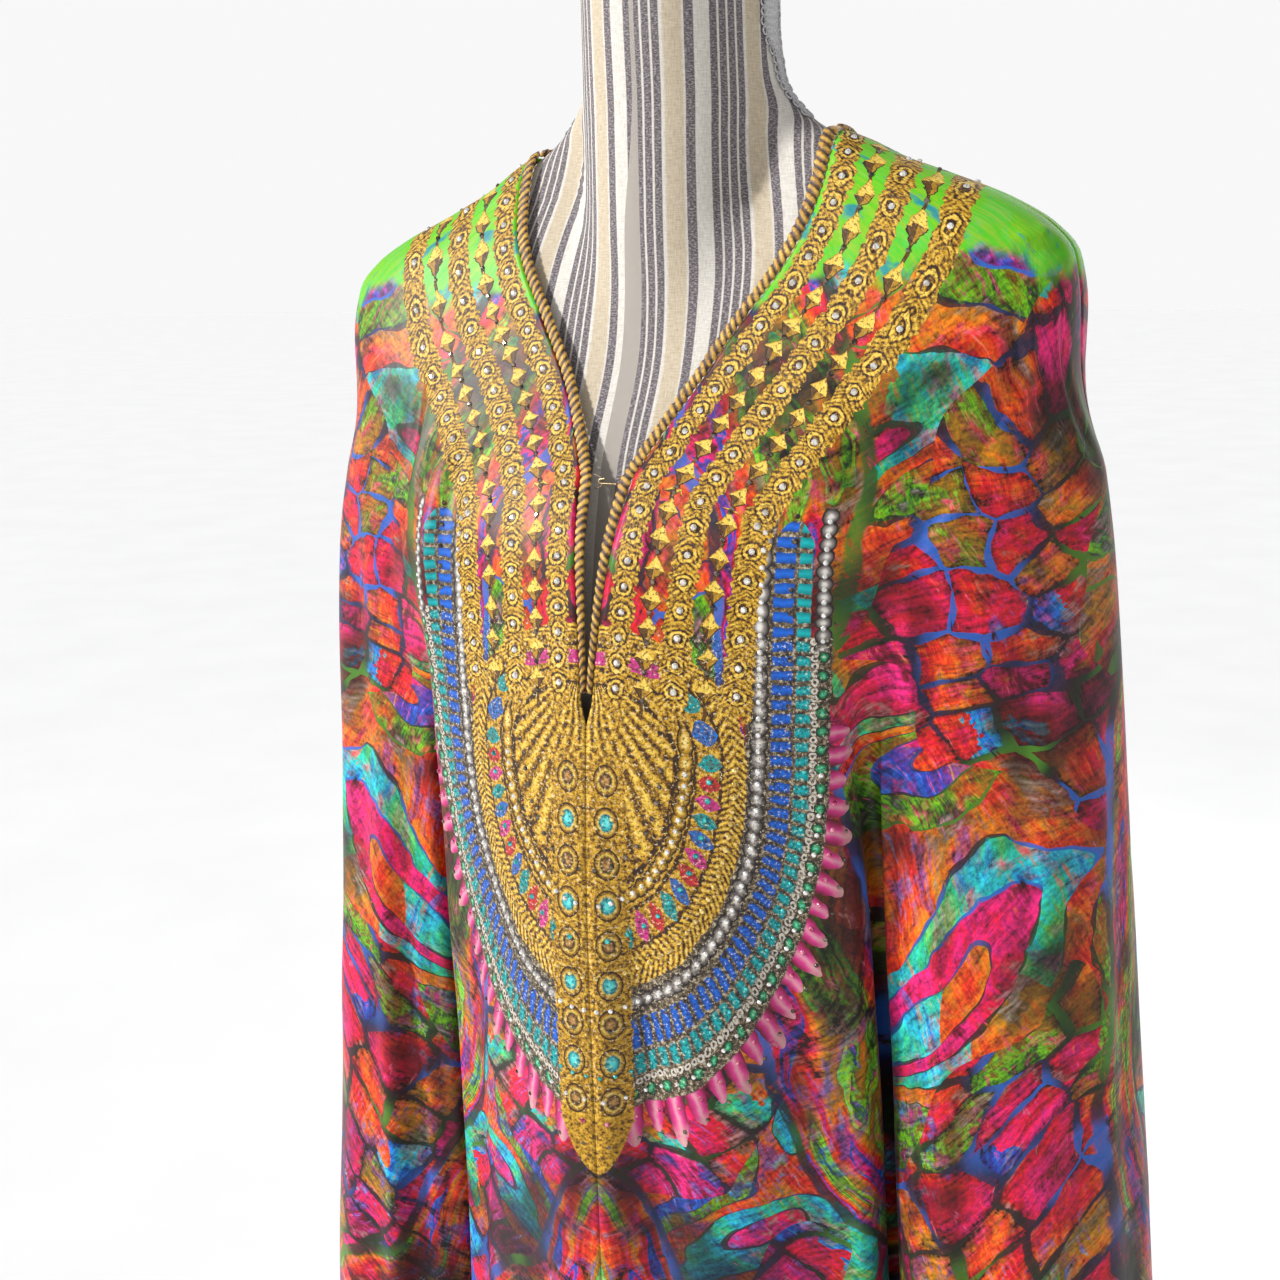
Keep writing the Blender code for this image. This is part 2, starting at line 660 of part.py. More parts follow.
def tube(name, path, radius, sides, colour, roughness, metallic=0.0):
    """A round bar along a path, with an upright reference for its rings."""
    path = [np.asarray(point, float) for point in path]
    rings = []
    for i, point in enumerate(path):
        ahead = path[min(i + 1, len(path) - 1)] - path[max(i - 1, 0)]
        ahead /= np.linalg.norm(ahead)
        aside = np.cross(ahead, (0.0, 1.0, 0.0))
        if np.linalg.norm(aside) < 0.2:
            aside = np.cross(ahead, (1.0, 0.0, 0.0))
        aside /= np.linalg.norm(aside)
        over = np.cross(ahead, aside)
        angles = [2 * math.pi * k / sides for k in range(sides)]
        rings.append([point + radius * (math.cos(a) * aside + math.sin(a) * over) for a in angles])
    return rings_solid(name, rings, colour, roughness, metallic)


def neck_fastening():
    """The hook on the wearer's left and the thread loop on the right, across the V's foot."""
    height = 1.2445
    near = 0.0083
    level = cloth_point(LEFT, station_at(LEFT, near, height), height)[1] - 0.0002
    hook = [
        (near - 0.0014, level, height),
        (near - 0.0040, level, height),
        (near - 0.0074, level, height),
        (near - 0.0104, level, height),
        (near - 0.0118, level, height + 0.0011),
        (near - 0.0106, level, height + 0.0023),
        (near - 0.0082, level, height + 0.0026),
    ]
    tube("neck_hook", hook, 0.0005, 8, (0.55, 0.45, 0.28), 0.35, 1.0)
    loop = [
        (-near + 0.0014, level + 0.0016, height - 0.0030),
        (-near + 0.0040, level + 0.0016, height - 0.0024),
        (-near + 0.0062, level + 0.0016, height - 0.0006),
        (-near + 0.0066, level + 0.0016, height + 0.0008),
        (-near + 0.0060, level + 0.0016, height + 0.0022),
        (-near + 0.0040, level + 0.0016, height + 0.0038),
        (-near + 0.0014, level + 0.0016, height + 0.0044),
    ]
    tube("neck_loop", loop, 0.0005, 8, (0.25, 0.17, 0.12), 0.8)


def form_heights():
    heights = [row[0] for row in FORM]
    extra = (1.500, 1.465, 1.441, 1.426, 1.415, 1.403, 1.389, 1.376, 1.363, 1.343, 1.315, 1.275)
    return sorted(heights + list(extra))


def form_body():
    """The padded torso and neck as one closed body."""
    rings = []
    for height in form_heights():
        ring = [settle(form_point(LEFT, FORM_STATIONS[i], height)) for i in range(len(FORM_STATIONS))]
        ring += [settle(form_point(RIGHT, station, height)) for station in FORM_STATIONS[-2:0:-1]]
        rings.append(ring)
    return rings_solid("form_body", rings, LINEN_COLOUR, 0.9)


def form_plate(name, height_low, height_high, ring_height, inset, colour, roughness):
    """A flat plate with the outline of one of the form's rings, made smaller by inset."""
    outline = [form_point(LEFT, station, ring_height) for station in FORM_STATIONS[::2]]
    outline += [form_point(RIGHT, station, ring_height) for station in FORM_STATIONS[-3:0:-2]]
    edge = 0.0012
    rings = []
    for height, extra in (
        (height_low, edge), (height_low + edge, 0.0), (height_high - edge, 0.0), (height_high, edge),
    ):
        ring = []
        for x, y, _ in outline:
            length = math.hypot(x, y)
            scale = (length - inset - extra) / length
            ring.append(np.array([x * scale, y * scale, height]))
        rings.append(ring)
    return rings_solid(name, rings, colour, roughness)


def lace(side):
    """The lace braid down one side of the neck, from the cap to the neckline."""
    rings = []
    for height in (1.514, 1.500, 1.486, 1.472, 1.458, 1.447, 1.438, 1.431, 1.4265):
        half_width = table_value(FORM, FORM_COLUMNS, "half_width", height)
        reach = LACE_WIDTH / 2 / (half_width * math.pi / 2)
        low, high = [], []
        for share in (-1.0, -0.6, -0.2, 0.2, 0.6, 1.0):
            station = 1 + share * reach * 1.05
            point = form_point(side, station, height)
            normal = outward(form_point, side, station, height)
            low.append(settle(point + normal * (PIECE_GAP + 0.0006)))
            high.append(settle(point + normal * (PIECE_GAP + 0.0006 + LACE_THICKNESS)))
        rings.append(low + high[::-1])
    name = "form_lace_left" if side == LEFT else "form_lace_right"
    return rings_solid(name, rings, (0.78, 0.75, 0.68), 0.85)


def stand():
    foot = FORM[-1][0]
    board_top = foot - PIECE_GAP
    board_foot = board_top - BOARD_THICKNESS
    form_plate("form_underboard", board_foot, board_top, foot, BOARD_INSET, (0.45, 0.31, 0.19), 0.6)
    cap_foot = FORM[0][0] + PIECE_GAP
    form_plate("form_neck_cap", cap_foot, cap_foot + CAP_THICKNESS, FORM[0][0], CAP_INSET, LINEN_COLOUR, 0.9)
    turned_solid("stand_pole", (
        (POLE_RADIUS, BASE_THICKNESS + PIECE_GAP),
        (POLE_RADIUS, board_foot - PIECE_GAP),
    ), 32, STEEL_COLOUR, 0.4, 0.8)
    turned_solid("stand_base", (
        (BASE_RADIUS - 0.001, 0.0),
        (BASE_RADIUS, 0.001),
        (BASE_RADIUS, BASE_THICKNESS - 0.004),
        (BASE_RADIUS - 0.002, BASE_THICKNESS - 0.001),
        (BASE_RADIUS - 0.005, BASE_THICKNESS),
    ), 48, STEEL_COLOUR, 0.4, 0.8)


def main():
    clear_scene()
    for side in (LEFT, RIGHT):
        front_panel(side)
        front_binding(side)
        lace(side)
    back_panel()
    back_binding()
    neck_fastening()
    form_body()
    stand()


main()
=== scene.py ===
import math

import bmesh
import bpy
import numpy as np
from mathutils import Euler, Matrix, Vector


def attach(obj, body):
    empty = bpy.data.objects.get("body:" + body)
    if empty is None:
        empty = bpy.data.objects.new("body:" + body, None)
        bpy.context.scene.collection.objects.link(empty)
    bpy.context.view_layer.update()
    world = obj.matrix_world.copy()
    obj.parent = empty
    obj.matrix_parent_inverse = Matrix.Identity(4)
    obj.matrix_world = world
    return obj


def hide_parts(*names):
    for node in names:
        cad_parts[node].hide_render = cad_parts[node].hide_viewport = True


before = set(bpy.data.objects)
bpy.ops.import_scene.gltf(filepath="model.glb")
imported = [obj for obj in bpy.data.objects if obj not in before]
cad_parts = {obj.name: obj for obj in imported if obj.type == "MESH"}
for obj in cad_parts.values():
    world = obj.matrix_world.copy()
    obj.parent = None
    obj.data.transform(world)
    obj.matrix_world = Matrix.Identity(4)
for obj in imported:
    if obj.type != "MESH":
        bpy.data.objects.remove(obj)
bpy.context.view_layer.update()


# The camera stands a little above the chest, off the wearer's left, and looks down at the neckline.
# It frames the neck, shoulders and chest as in the photograph, and leaves the skirt below its edge.
camera_azimuth = math.radians(28.04)
camera_pitch = math.radians(12.99)
camera_roll = math.radians(-1.39)
camera_right = Vector((math.cos(camera_azimuth), math.sin(camera_azimuth), 0.0))
camera_ahead = Vector((-math.sin(camera_azimuth), math.cos(camera_azimuth), 0.0))
camera_data = bpy.data.cameras.new("photo_camera")
camera_data.sensor_width = 36.0
camera_data.lens = 1728.8 / 1280 * 36.0
camera_data.clip_start = 0.01
camera = bpy.data.objects.new("photo_camera", camera_data)
bpy.context.scene.collection.objects.link(camera)
camera.location = camera_ahead * -0.9834 + camera_right * -0.0311 + Vector((0.0, 0.0, 1.3669))
level = Euler((math.pi / 2 - camera_pitch, 0.0, camera_azimuth), "XYZ").to_matrix()
camera.rotation_euler = (level @ Matrix.Rotation(camera_roll, 3, "Z")).to_euler()
bpy.context.scene.camera = camera


# The stand: a flat round steel base and a steel pole, both with a fine black powder coat, and the wooden
# board under the form that the pole carries. Nothing of it shows in the photograph.
class Nodes:
    """A material's node tree, with short calls for the nodes that the patterns use."""

    def __init__(self, name, roughness=0.6):
        self.material = bpy.data.materials.new(name)
        self.material.use_nodes = True
        self.tree = self.material.node_tree
        self.shader = self.tree.nodes["Principled BSDF"]
        self.shader.inputs["Roughness"].default_value = roughness

    def add(self, kind, **values):
        node = self.tree.nodes.new(kind)
        for key, value in values.items():
            setattr(node, key, value)
        return node

    def put(self, socket, value):
        if isinstance(value, bpy.types.NodeSocket):
            self.tree.links.new(value, socket)
        elif isinstance(value, (tuple, list)) and len(socket.default_value) == 4:
            socket.default_value = (*value[:3], 1.0)
        else:
            socket.default_value = value

    def sum(self, kind, a, b=0.0, c=0.0):
        node = self.add("ShaderNodeMath", operation=kind)
        for socket, value in zip(node.inputs, (a, b, c)):
            self.put(socket, value)
        return node.outputs[0]

    def between(self, value, low, high, soft=0.0008):
        """1 where value lies from low to high, with soft edges."""
        rise = self.ramp_up(value, low, soft)
        fall = self.ramp_up(value, high, soft)
        return self.sum("SUBTRACT", rise, fall)

    def ramp_up(self, value, at, soft=0.0008):
        node = self.add("ShaderNodeMapRange", interpolation_type="SMOOTHSTEP")
        self.put(node.inputs[0], value)
        node.inputs[1].default_value = at - soft
        node.inputs[2].default_value = at + soft
        return node.outputs[0]

    def mix(self, share, a, b, kind="MIX"):
        node = self.add("ShaderNodeMix", data_type="RGBA", blend_type=kind)
        self.put(node.inputs[0], share)
        self.put(node.inputs[6], a)
        self.put(node.inputs[7], b)
        return node.outputs[2]

    def colours(self, value, stops, kind="LINEAR"):
        node = self.add("ShaderNodeValToRGB")
        node.color_ramp.interpolation = kind
        elements = node.color_ramp.elements
        while len(elements) < len(stops):
            elements.new(0.5)
        for element, (position, colour) in zip(elements, stops):
            element.position = position
            element.color = (*colour, 1.0)
        self.put(node.inputs[0], value)
        return node.outputs[0]

    def vector(self, x, y, z=0.0):
        node = self.add("ShaderNodeCombineXYZ")
        for socket, value in zip(node.inputs, (x, y, z)):
            self.put(socket, value)
        return node.outputs[0]

    def parts(self, vector):
        node = self.add("ShaderNodeSeparateXYZ")
        self.put(node.inputs[0], vector)
        return node.outputs

    def noise(self, vector, scale, detail=2.0, roughness=0.5, distortion=0.0):
        node = self.add("ShaderNodeTexNoise")
        self.put(node.inputs["Vector"], vector)
        node.inputs["Scale"].default_value = scale
        node.inputs["Detail"].default_value = detail
        node.inputs["Roughness"].default_value = roughness
        node.inputs["Distortion"].default_value = distortion
        return node.outputs

    def cells(self, vector, scale, feature="F1", randomness=1.0, distance="EUCLIDEAN"):
        node = self.add("ShaderNodeTexVoronoi", feature=feature, voronoi_dimensions="2D")
        if feature == "F1":
            node.distance = distance
        self.put(node.inputs["Vector"], vector)
        node.inputs["Scale"].default_value = scale
        node.inputs["Randomness"].default_value = randomness
        return node.outputs

    def bump(self, height, distance=0.001, strength=1.0, under=None):
        node = self.add("ShaderNodeBump")
        node.inputs["Strength"].default_value = strength
        node.inputs["Distance"].default_value = distance
        self.put(node.inputs["Height"], height)
        if under is not None:
            self.put(node.inputs["Normal"], under)
        return node.outputs[0]

    def finish(self, colour, normal=None, roughness=None, **sockets):
        self.put(self.shader.inputs["Base Color"], colour)
        if normal is not None:
            self.put(self.shader.inputs["Normal"], normal)
        if roughness is not None:
            self.put(self.shader.inputs["Roughness"], roughness)
        for name, value in sockets.items():
            self.shader.inputs[name.replace("_", " ")].default_value = value
        return self.material

    def object_point(self):
        return self.add("ShaderNodeTexCoord").outputs["Object"]


def turned_piece(name, profile, steps=96):
    """A turned solid: a circle drawn out along the (radius, height) pairs of its profile."""
    bpy.ops.object.select_all(action="DESELECT")
    bpy.ops.mesh.primitive_circle_add(vertices=steps, radius=profile[0][0], fill_type="NGON", location=(0.0, 0.0, 0.0))
    piece = bpy.context.object
    piece.name = name
    bpy.ops.object.mode_set(mode="EDIT")
    bpy.ops.mesh.select_all(action="SELECT")
    bpy.ops.transform.translate(value=(0.0, 0.0, profile[0][1]))
    for (radius, height), (next_radius, next_height) in zip(profile, profile[1:]):
        bpy.ops.mesh.extrude_region_move(TRANSFORM_OT_translate={"value": (0.0, 0.0, next_height - height)})
        share = next_radius / radius
        bpy.ops.transform.resize(value=(share, share, 1.0), center_override=(0.0, 0.0, next_height))
    bpy.ops.mesh.select_all(action="SELECT")
    bpy.ops.mesh.normals_make_consistent(inside=False)
    bpy.ops.object.mode_set(mode="OBJECT")
    bpy.ops.object.shade_smooth_by_angle(angle=math.radians(35))
    return piece


base_foot_radius, base_radius, base_top = 0.1490, 0.1500, 0.0120
stand_base = turned_piece("stand_base_plate", (
    (base_foot_radius, 0.0), (base_radius, 0.0010), (base_radius, base_top - 0.0040), (0.1494, base_top - 0.0023),
    (0.1480, base_top - 0.0010), (0.1464, base_top - 0.0003), (0.1450, base_top), (0.0150, base_top),
))
board_foot, board_top = 0.8177, 0.8297
stand_pole = turned_piece("stand_tube", (
    (0.0119, base_top + 0.0003), (0.0125, base_top + 0.0009), (0.0125, 0.2), (0.0125, 0.4), (0.0125, 0.6),
    (0.0125, board_foot - 0.0009), (0.0119, board_foot - 0.0003),
), 48)
steel = Nodes("black_powder_coat", 0.45)
steel_point = steel.object_point()
pebbles = steel.noise(steel_point, 900.0, 2.0)[0]
dust = steel.noise(steel_point, 14.0, 4.0)[0]
coat = steel.mix(steel.ramp_up(dust, 0.60, 0.12), (0.014, 0.014, 0.015), (0.030, 0.029, 0.028))
coat_roughness = steel.sum("MULTIPLY_ADD", dust, 0.22, 0.36)
steel_material = steel.finish(coat, steel.bump(pebbles, 0.0002, 0.5), coat_roughness, Specular_IOR_Level=0.5)
for piece, node in ((stand_base, "stand_base"), (stand_pole, "stand_pole")):
    piece.data.materials.append(steel_material)
    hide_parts(node)
    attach(piece, "root")


# The dress form's body: a padded torso and neck covered in striped linen ticking, cut in panels.
# It is a smooth body through the same rings as its solid, with finer steps.
form_columns = ("height", "half_width", "front", "back", "power", "neck_front")
form_rings = np.array((
    (1.520, 0.0530, 0.0480, 0.0500, 2.0, 0.0540),
    (1.480, 0.0530, 0.0460, 0.0510, 2.0, 0.0540),
    (1.450, 0.0570, 0.0400, 0.0520, 2.0, 0.0540),
    (1.432, 0.0690, 0.0300, 0.0520, 2.1, 0.0545),
    (1.420, 0.0860, 0.0230, 0.0510, 2.2, 0.0550),
    (1.410, 0.1090, 0.0220, 0.0500, 2.3, 0.0550),
    (1.396, 0.1480, 0.0240, 0.0510, 2.5, 0.0550),
    (1.382, 0.1820, 0.0290, 0.0550, 2.8, 0.0550),
    (1.370, 0.2010, 0.0340, 0.0590, 3.0, 0.0545),
    (1.355, 0.2115, 0.0400, 0.0660, 3.0, 0.0530),
    (1.330, 0.2150, 0.0500, 0.0760, 3.0, 0.0490),
    (1.300, 0.2130, 0.0620, 0.0830, 3.0, 0.0360),
    (1.250, 0.1990, 0.0870, 0.0900, 2.5, 0.0100),
    (1.200, 0.1800, 0.1000, 0.0930, 2.4, 0.0050),
    (1.150, 0.1660, 0.1080, 0.0910, 2.4, 0.0050),
    (1.100, 0.1560, 0.1060, 0.0860, 2.3, 0.0050),
    (1.040, 0.1380, 0.0930, 0.0770, 2.2, 0.0050),
    (1.000, 0.1300, 0.0860, 0.0740, 2.1, 0.0050),
    (0.940, 0.1350, 0.0840, 0.0800, 2.1, 0.0050),
    (0.880, 0.1400, 0.0860, 0.0880, 2.1, 0.0050),
    (0.830, 0.1390, 0.0860, 0.0900, 2.1, 0.0050),
))
neck_half_width = 0.0545
shoulder_lean = 0.013


def eased(value, start, end):
    share = np.clip((value - start) / (end - start), 0.0, 1.0)
    return share * share * (3 - 2 * share)


def smooth_curve(knots, values):
    """A curve through values at rising knots that doesn't overshoot, read for whole arrays."""
    knots, values = np.asarray(knots, float), np.asarray(values, float)
    steps = np.diff(knots)
    slopes = np.diff(values) / steps
    tangents = np.zeros(len(knots))
    tangents[0], tangents[-1] = slopes[0], slopes[-1]
    for i in range(1, len(knots) - 1):
        if slopes[i - 1] * slopes[i] > 0:
            weight_a, weight_b = 2 * steps[i] + steps[i - 1], steps[i] + 2 * steps[i - 1]
            tangents[i] = (weight_a + weight_b) / (weight_a / slopes[i - 1] + weight_b / slopes[i])

    def read(at):
        at = np.clip(np.asarray(at, float), knots[0], knots[-1])
        i = np.clip(np.searchsorted(knots, at) - 1, 0, len(steps) - 1)
        t = (at - knots[i]) / steps[i]
        return (
            (1 + 2 * t) * (1 - t) ** 2 * values[i] + t * (1 - t) ** 2 * steps[i] * tangents[i]
            + t * t * (3 - 2 * t) * values[i + 1] + t * t * (t - 1) * steps[i] * tangents[i + 1]
        )

    return read


def column_curves(rows, columns):
    rows = rows[np.argsort(rows[:, 0])]
    return {name: smooth_curve(rows[:, 0], rows[:, i]) for i, name in enumerate(columns) if i}


form_size = column_curves(form_rings, form_columns)


def form_surface(side, station, height):
    """Points of the form: station 0 is the centre front, 1 the side, 2 the centre back."""
    station, height = np.broadcast_arrays(np.asarray(station, float), np.asarray(height, float))
    across = np.sin(station * math.pi / 2)
    power = form_size["power"](height)
    x = form_size["half_width"](height) * across
    fullness = (1 - np.minimum(1.0, np.abs(across)) ** power) ** (1 / power)
    neck = form_size["neck_front"](height) * np.sqrt(np.maximum(0.0, 1 - (x / neck_half_width) ** 2))
    front = -((form_size["front"](height) * fullness) ** 6 + neck**6) ** (1 / 6)
    y = np.where(station >= 1, form_size["back"](height) * fullness, front)
    return np.stack([side * x, y, height], axis=-1)


def settled(points):
    """The lean of the shoulders: the wearer's right side sits a little lower."""
    points = np.array(points, float)
    drop = eased(-points[..., 0], 0.03, 0.17) * eased(points[..., 2], 1.12, 1.36)
    points[..., 2] -= shoulder_lean * drop
    return points


def new_mesh(name, points, faces, smooth=True):
    mesh = bpy.data.meshes.new(name)
    mesh.from_pydata(np.asarray(points, float).tolist(), [], faces)
    mesh.update()
    piece = bpy.data.objects.new(name, mesh)
    bpy.context.scene.collection.objects.link(piece)
    if smooth:
        mesh.polygons.foreach_set("use_smooth", [True] * len(mesh.polygons))
    return piece


def ring_faces(rings, count, capped=True):
    """Quads between closed rings of count points, with a middle point at each end."""
    faces = []
    for r in range(rings - 1):
        for i in range(count):
            a, b = r * count + i, r * count + (i + 1) % count
            faces.append((a, b, b + count, a + count))
    if capped:
        for start, middle in ((0, rings * count), ((rings - 1) * count, rings * count + 1)):
            faces += [(start + i, start + (i + 1) % count, middle) for i in range(count)]
    return faces


def ringed_piece(name, rings, smooth=True):
    """A closed piece through rings of the same number of points."""
    rings = np.asarray(rings, float)
    ends = [rings[0].mean(axis=0), rings[-1].mean(axis=0)]
    points = np.concatenate([rings.reshape(-1, 3), ends])
    piece = new_mesh(name, points, ring_faces(rings.shape[0], rings.shape[1]), smooth)
    turned_out(piece)
    return piece


def turned_out(piece):
    """Every face of a closed piece turned outwards."""
    body = bmesh.new()
    body.from_mesh(piece.data)
    bmesh.ops.recalc_face_normals(body, faces=body.faces)
    if body.calc_volume(signed=True) < 0:
        bmesh.ops.reverse_faces(body, faces=body.faces)
    body.to_mesh(piece.data)
    body.free()


ticking = Nodes("striped_ticking", 0.92)
uv = ticking.add("ShaderNodeUVMap", uv_map="round").outputs[0]
round_x, up_z, _ = ticking.parts(uv)
wobble = ticking.noise(ticking.vector(round_x, up_z), 9.0, 1.0)[0]
wander = ticking.sum("MULTIPLY_ADD", wobble, 0.0030, ticking.sum("ADD", round_x, 0.0069 + 0.46))
place = ticking.sum("FLOORED_MODULO", wander, 0.0460)
# One repeat, 46 mm wide: four close narrow stripes, a wide plain band and one lone stripe.
stripes = None
for stripe_start, stripe_width in ((0.0020, 0.0040), (0.0072, 0.0040), (0.0124, 0.0040), (0.0176, 0.0040), (0.0345, 0.0050)):
    stripe = ticking.between(place, stripe_start, stripe_start + stripe_width, 0.0003)
    stripes = stripe if stripes is None else ticking.sum("MAXIMUM", stripes, stripe)
warp_threads = ticking.noise(ticking.vector(ticking.sum("MULTIPLY", round_x, 7.0), up_z), 210.0, 2.0)[0]
weft_threads = ticking.noise(ticking.vector(round_x, ticking.sum("MULTIPLY", up_z, 7.0)), 210.0, 2.0)[0]
slubs = ticking.noise(ticking.vector(round_x, ticking.sum("MULTIPLY", up_z, 2.0)), 620.0, 3.0, 0.7)[0]
linen_weave = ticking.sum("MULTIPLY_ADD", warp_threads, 0.5, ticking.sum("MULTIPLY", weft_threads, 0.5))
linen = ticking.colours(linen_weave, ((0.30, (0.46, 0.42, 0.36)), (0.62, (0.66, 0.63, 0.58))))
tan_linen = ticking.colours(linen_weave, ((0.30, (0.37, 0.295, 0.20)), (0.62, (0.55, 0.47, 0.35))))
linen = ticking.mix(ticking.between(place, 0.0235, 0.0335, 0.0009), linen, tan_linen)
dyed = ticking.colours(slubs, ((0.38, (0.042, 0.032, 0.038)), (0.50, (0.105, 0.085, 0.095)), (0.62, (0.30, 0.27, 0.28))))
shade_strength = ticking.sum("MULTIPLY", stripes, 0.95)
threads = ticking.bump(ticking.sum("ADD", warp_threads, weft_threads), 0.0002, 0.6)
ticking_material = ticking.finish(ticking.mix(shade_strength, linen, dyed), threads, Sheen_Weight=0.15)

form_steps = np.concatenate([np.linspace(1.52, 1.33, 70), np.linspace(1.326, 0.83, 80)])
form_stations = np.linspace(0, 2, 65)
left_half = form_surface(1, form_stations[None, :], form_steps[:, None])
right_half = form_surface(-1, form_stations[None, -2:0:-1], form_steps[:, None])
form_grid = settled(np.concatenate([left_half, right_half], axis=1))
form_body = ringed_piece("dress_form_body", form_grid)


def wrap_form(piece, grid):
    """A UV map in metres for the ticking: the way round each ring from the centre front, and the height."""
    count_rings, count = grid.shape[:2]
    half = count // 2
    steps = np.linalg.norm(np.diff(np.concatenate([grid, grid[:, :1]], axis=1), axis=1), axis=2)
    left = np.concatenate([np.zeros((count_rings, 1)), np.cumsum(steps[:, :half], axis=1)], axis=1)
    right = -np.cumsum(steps[:, ::-1], axis=1)[:, ::-1]
    mesh = piece.data
    layer = mesh.uv_layers.new(name="round")
    for polygon in mesh.polygons:
        corners = [mesh.loops[i].vertex_index for i in polygon.loop_indices]
        on_left = all(corner % count <= half for corner in corners if corner < count_rings * count)
        for i, corner in zip(polygon.loop_indices, corners):
            ring, column = divmod(min(corner, count_rings * count - 1), count)
            across = left[ring, column] if on_left and column <= half else right[ring, column]
            layer.data[i].uv = (across, mesh.vertices[corner].co.z)


wrap_form(form_body, form_grid)
form_body.data.materials.append(ticking_material)
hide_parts("form_body")
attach(form_body, "root")


# The form's plates: a plywood board closes its foot, and a small linen-covered disc closes the neck.
def plate_on_form(name, heights, insets, ring_height):
    """A flat plate with the outline of one of the form's rings, its edges eased."""
    stations = np.linspace(0, 2, 65)
    outline = np.concatenate([
        form_surface(1, stations, np.full(65, ring_height)),
        form_surface(-1, stations[-2:0:-1], np.full(63, ring_height)),
    ])
    lengths = np.hypot(outline[:, 0], outline[:, 1])[:, None]
    rings = []
    for height, inset in zip(heights, insets):
        ring = outline.copy()
        ring[:, :2] *= (lengths - inset) / lengths
        ring[:, 2] = height
        rings.append(ring)
    return ringed_piece(name, rings)


board_insets = (0.0080, 0.0052, 0.0044, 0.0040, 0.0040, 0.0044, 0.0052, 0.0080)
board_heights = (board_foot, board_foot, 0.8180, 0.8189, 0.8285, 0.8294, board_top, board_top)
underboard = plate_on_form("form_foot_board", board_heights, board_insets, 0.830)
wood = Nodes("plywood", 0.62)
wood_x, wood_y, wood_z = wood.parts(wood.object_point())
grain_place = wood.vector(wood.sum("MULTIPLY", wood_x, 1.0), wood.sum("MULTIPLY", wood_y, 14.0), wood.sum("MULTIPLY", wood_z, 3.0))
grain = wood.noise(grain_place, 9.0, 5.0, 0.6, 0.4)[0]
pores = wood.noise(wood.vector(wood.sum("MULTIPLY", wood_x, 3.0), wood.sum("MULTIPLY", wood_y, 60.0), wood_z), 30.0, 3.0)[0]
plies = wood.sum("SINE", wood.sum("MULTIPLY", wood_z, 3140.0))
wood_colour = wood.colours(grain, ((0.30, (0.36, 0.22, 0.11)), (0.52, (0.53, 0.36, 0.20)), (0.72, (0.62, 0.45, 0.27))))
wood_colour = wood.mix(wood.sum("MULTIPLY", wood.ramp_up(pores, 0.60, 0.06), 0.5), wood_colour, (0.20, 0.11, 0.05))
wood_colour = wood.mix(wood.sum("MULTIPLY", wood.ramp_up(plies, 0.3, 0.4), 0.18), wood_colour, (0.24, 0.14, 0.07))
underboard.data.materials.append(wood.finish(wood_colour, wood.bump(grain, 0.0003, 0.4)))
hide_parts("form_underboard")
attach(underboard, "root")

cap_insets = (0.0060, 0.0030, 0.0016, 0.0010, 0.0010, 0.0018, 0.0036, 0.0070, 0.0200)
cap_heights = (1.5203, 1.5203, 1.5206, 1.5215, 1.5236, 1.5250, 1.5258, 1.5262, 1.5263)
neck_cap = plate_on_form("neck_disc", cap_heights, cap_insets, 1.520)
cap_linen = Nodes("plain_linen", 0.92)
cap_point = cap_linen.object_point()
cap_x, cap_y, cap_z = cap_linen.parts(cap_point)
warp = cap_linen.noise(cap_linen.vector(cap_linen.sum("MULTIPLY", cap_x, 9.0), cap_y, cap_z), 260.0, 2.0)[0]
weft = cap_linen.noise(cap_linen.vector(cap_x, cap_linen.sum("MULTIPLY", cap_y, 9.0), cap_z), 260.0, 2.0)[0]
cap_weave = cap_linen.sum("MULTIPLY_ADD", warp, 0.5, cap_linen.sum("MULTIPLY", weft, 0.5))
cap_colour = cap_linen.colours(cap_weave, ((0.30, (0.34, 0.30, 0.235)), (0.62, (0.50, 0.46, 0.39))))
neck_cap.data.materials.append(cap_linen.finish(cap_colour, cap_linen.bump(cap_weave, 0.0003, 0.7), Sheen_Weight=0.15))
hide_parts("form_neck_cap")
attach(neck_cap, "root")


# White lace braid down both sides of the neck: a woven band with a chain of small looped picots along
# each edge and a fine mesh between them. Only the wearer's left one shows in the photograph.
def placed_copies(name, vertices, faces, middles, rights, ups, outs, sizes, smooth=True):
    """One mesh of many small copies of a shape, each turned to its own three directions."""
    vertices = np.asarray(vertices, float)
    sizes = np.broadcast_to(np.asarray(sizes, float).reshape(-1, 1, 1), (len(middles), 1, 1))
    axes = np.stack([rights, ups, outs], axis=1)
    points = middles[:, None] + np.einsum("vk,nkx->nvx", vertices, axes) * sizes
    count = len(vertices)
    all_faces = [tuple(i + n * count for i in face) for n in range(len(middles)) for face in faces]
    return new_mesh(name, points.reshape(-1, 3), all_faces, smooth)


def loop_shape(radius, tube, steps=12, sides=5, oval=1.0):
    """A small ring of thread, lying flat."""
    vertices, faces = [], []
    for i in range(steps):
        turn_round = 2 * math.pi * i / steps
        for j in range(sides):
            over = 2 * math.pi * j / sides
            reach = radius + tube * math.cos(over)
            vertices.append((reach * math.cos(turn_round), oval * reach * math.sin(turn_round), tube * math.sin(over)))
            a, b = i * sides + j, i * sides + (j + 1) % sides
            c, d = (i + 1) % steps * sides + (j + 1) % sides, (i + 1) % steps * sides + j
            faces.append((a, d, c, b))
    return vertices, faces


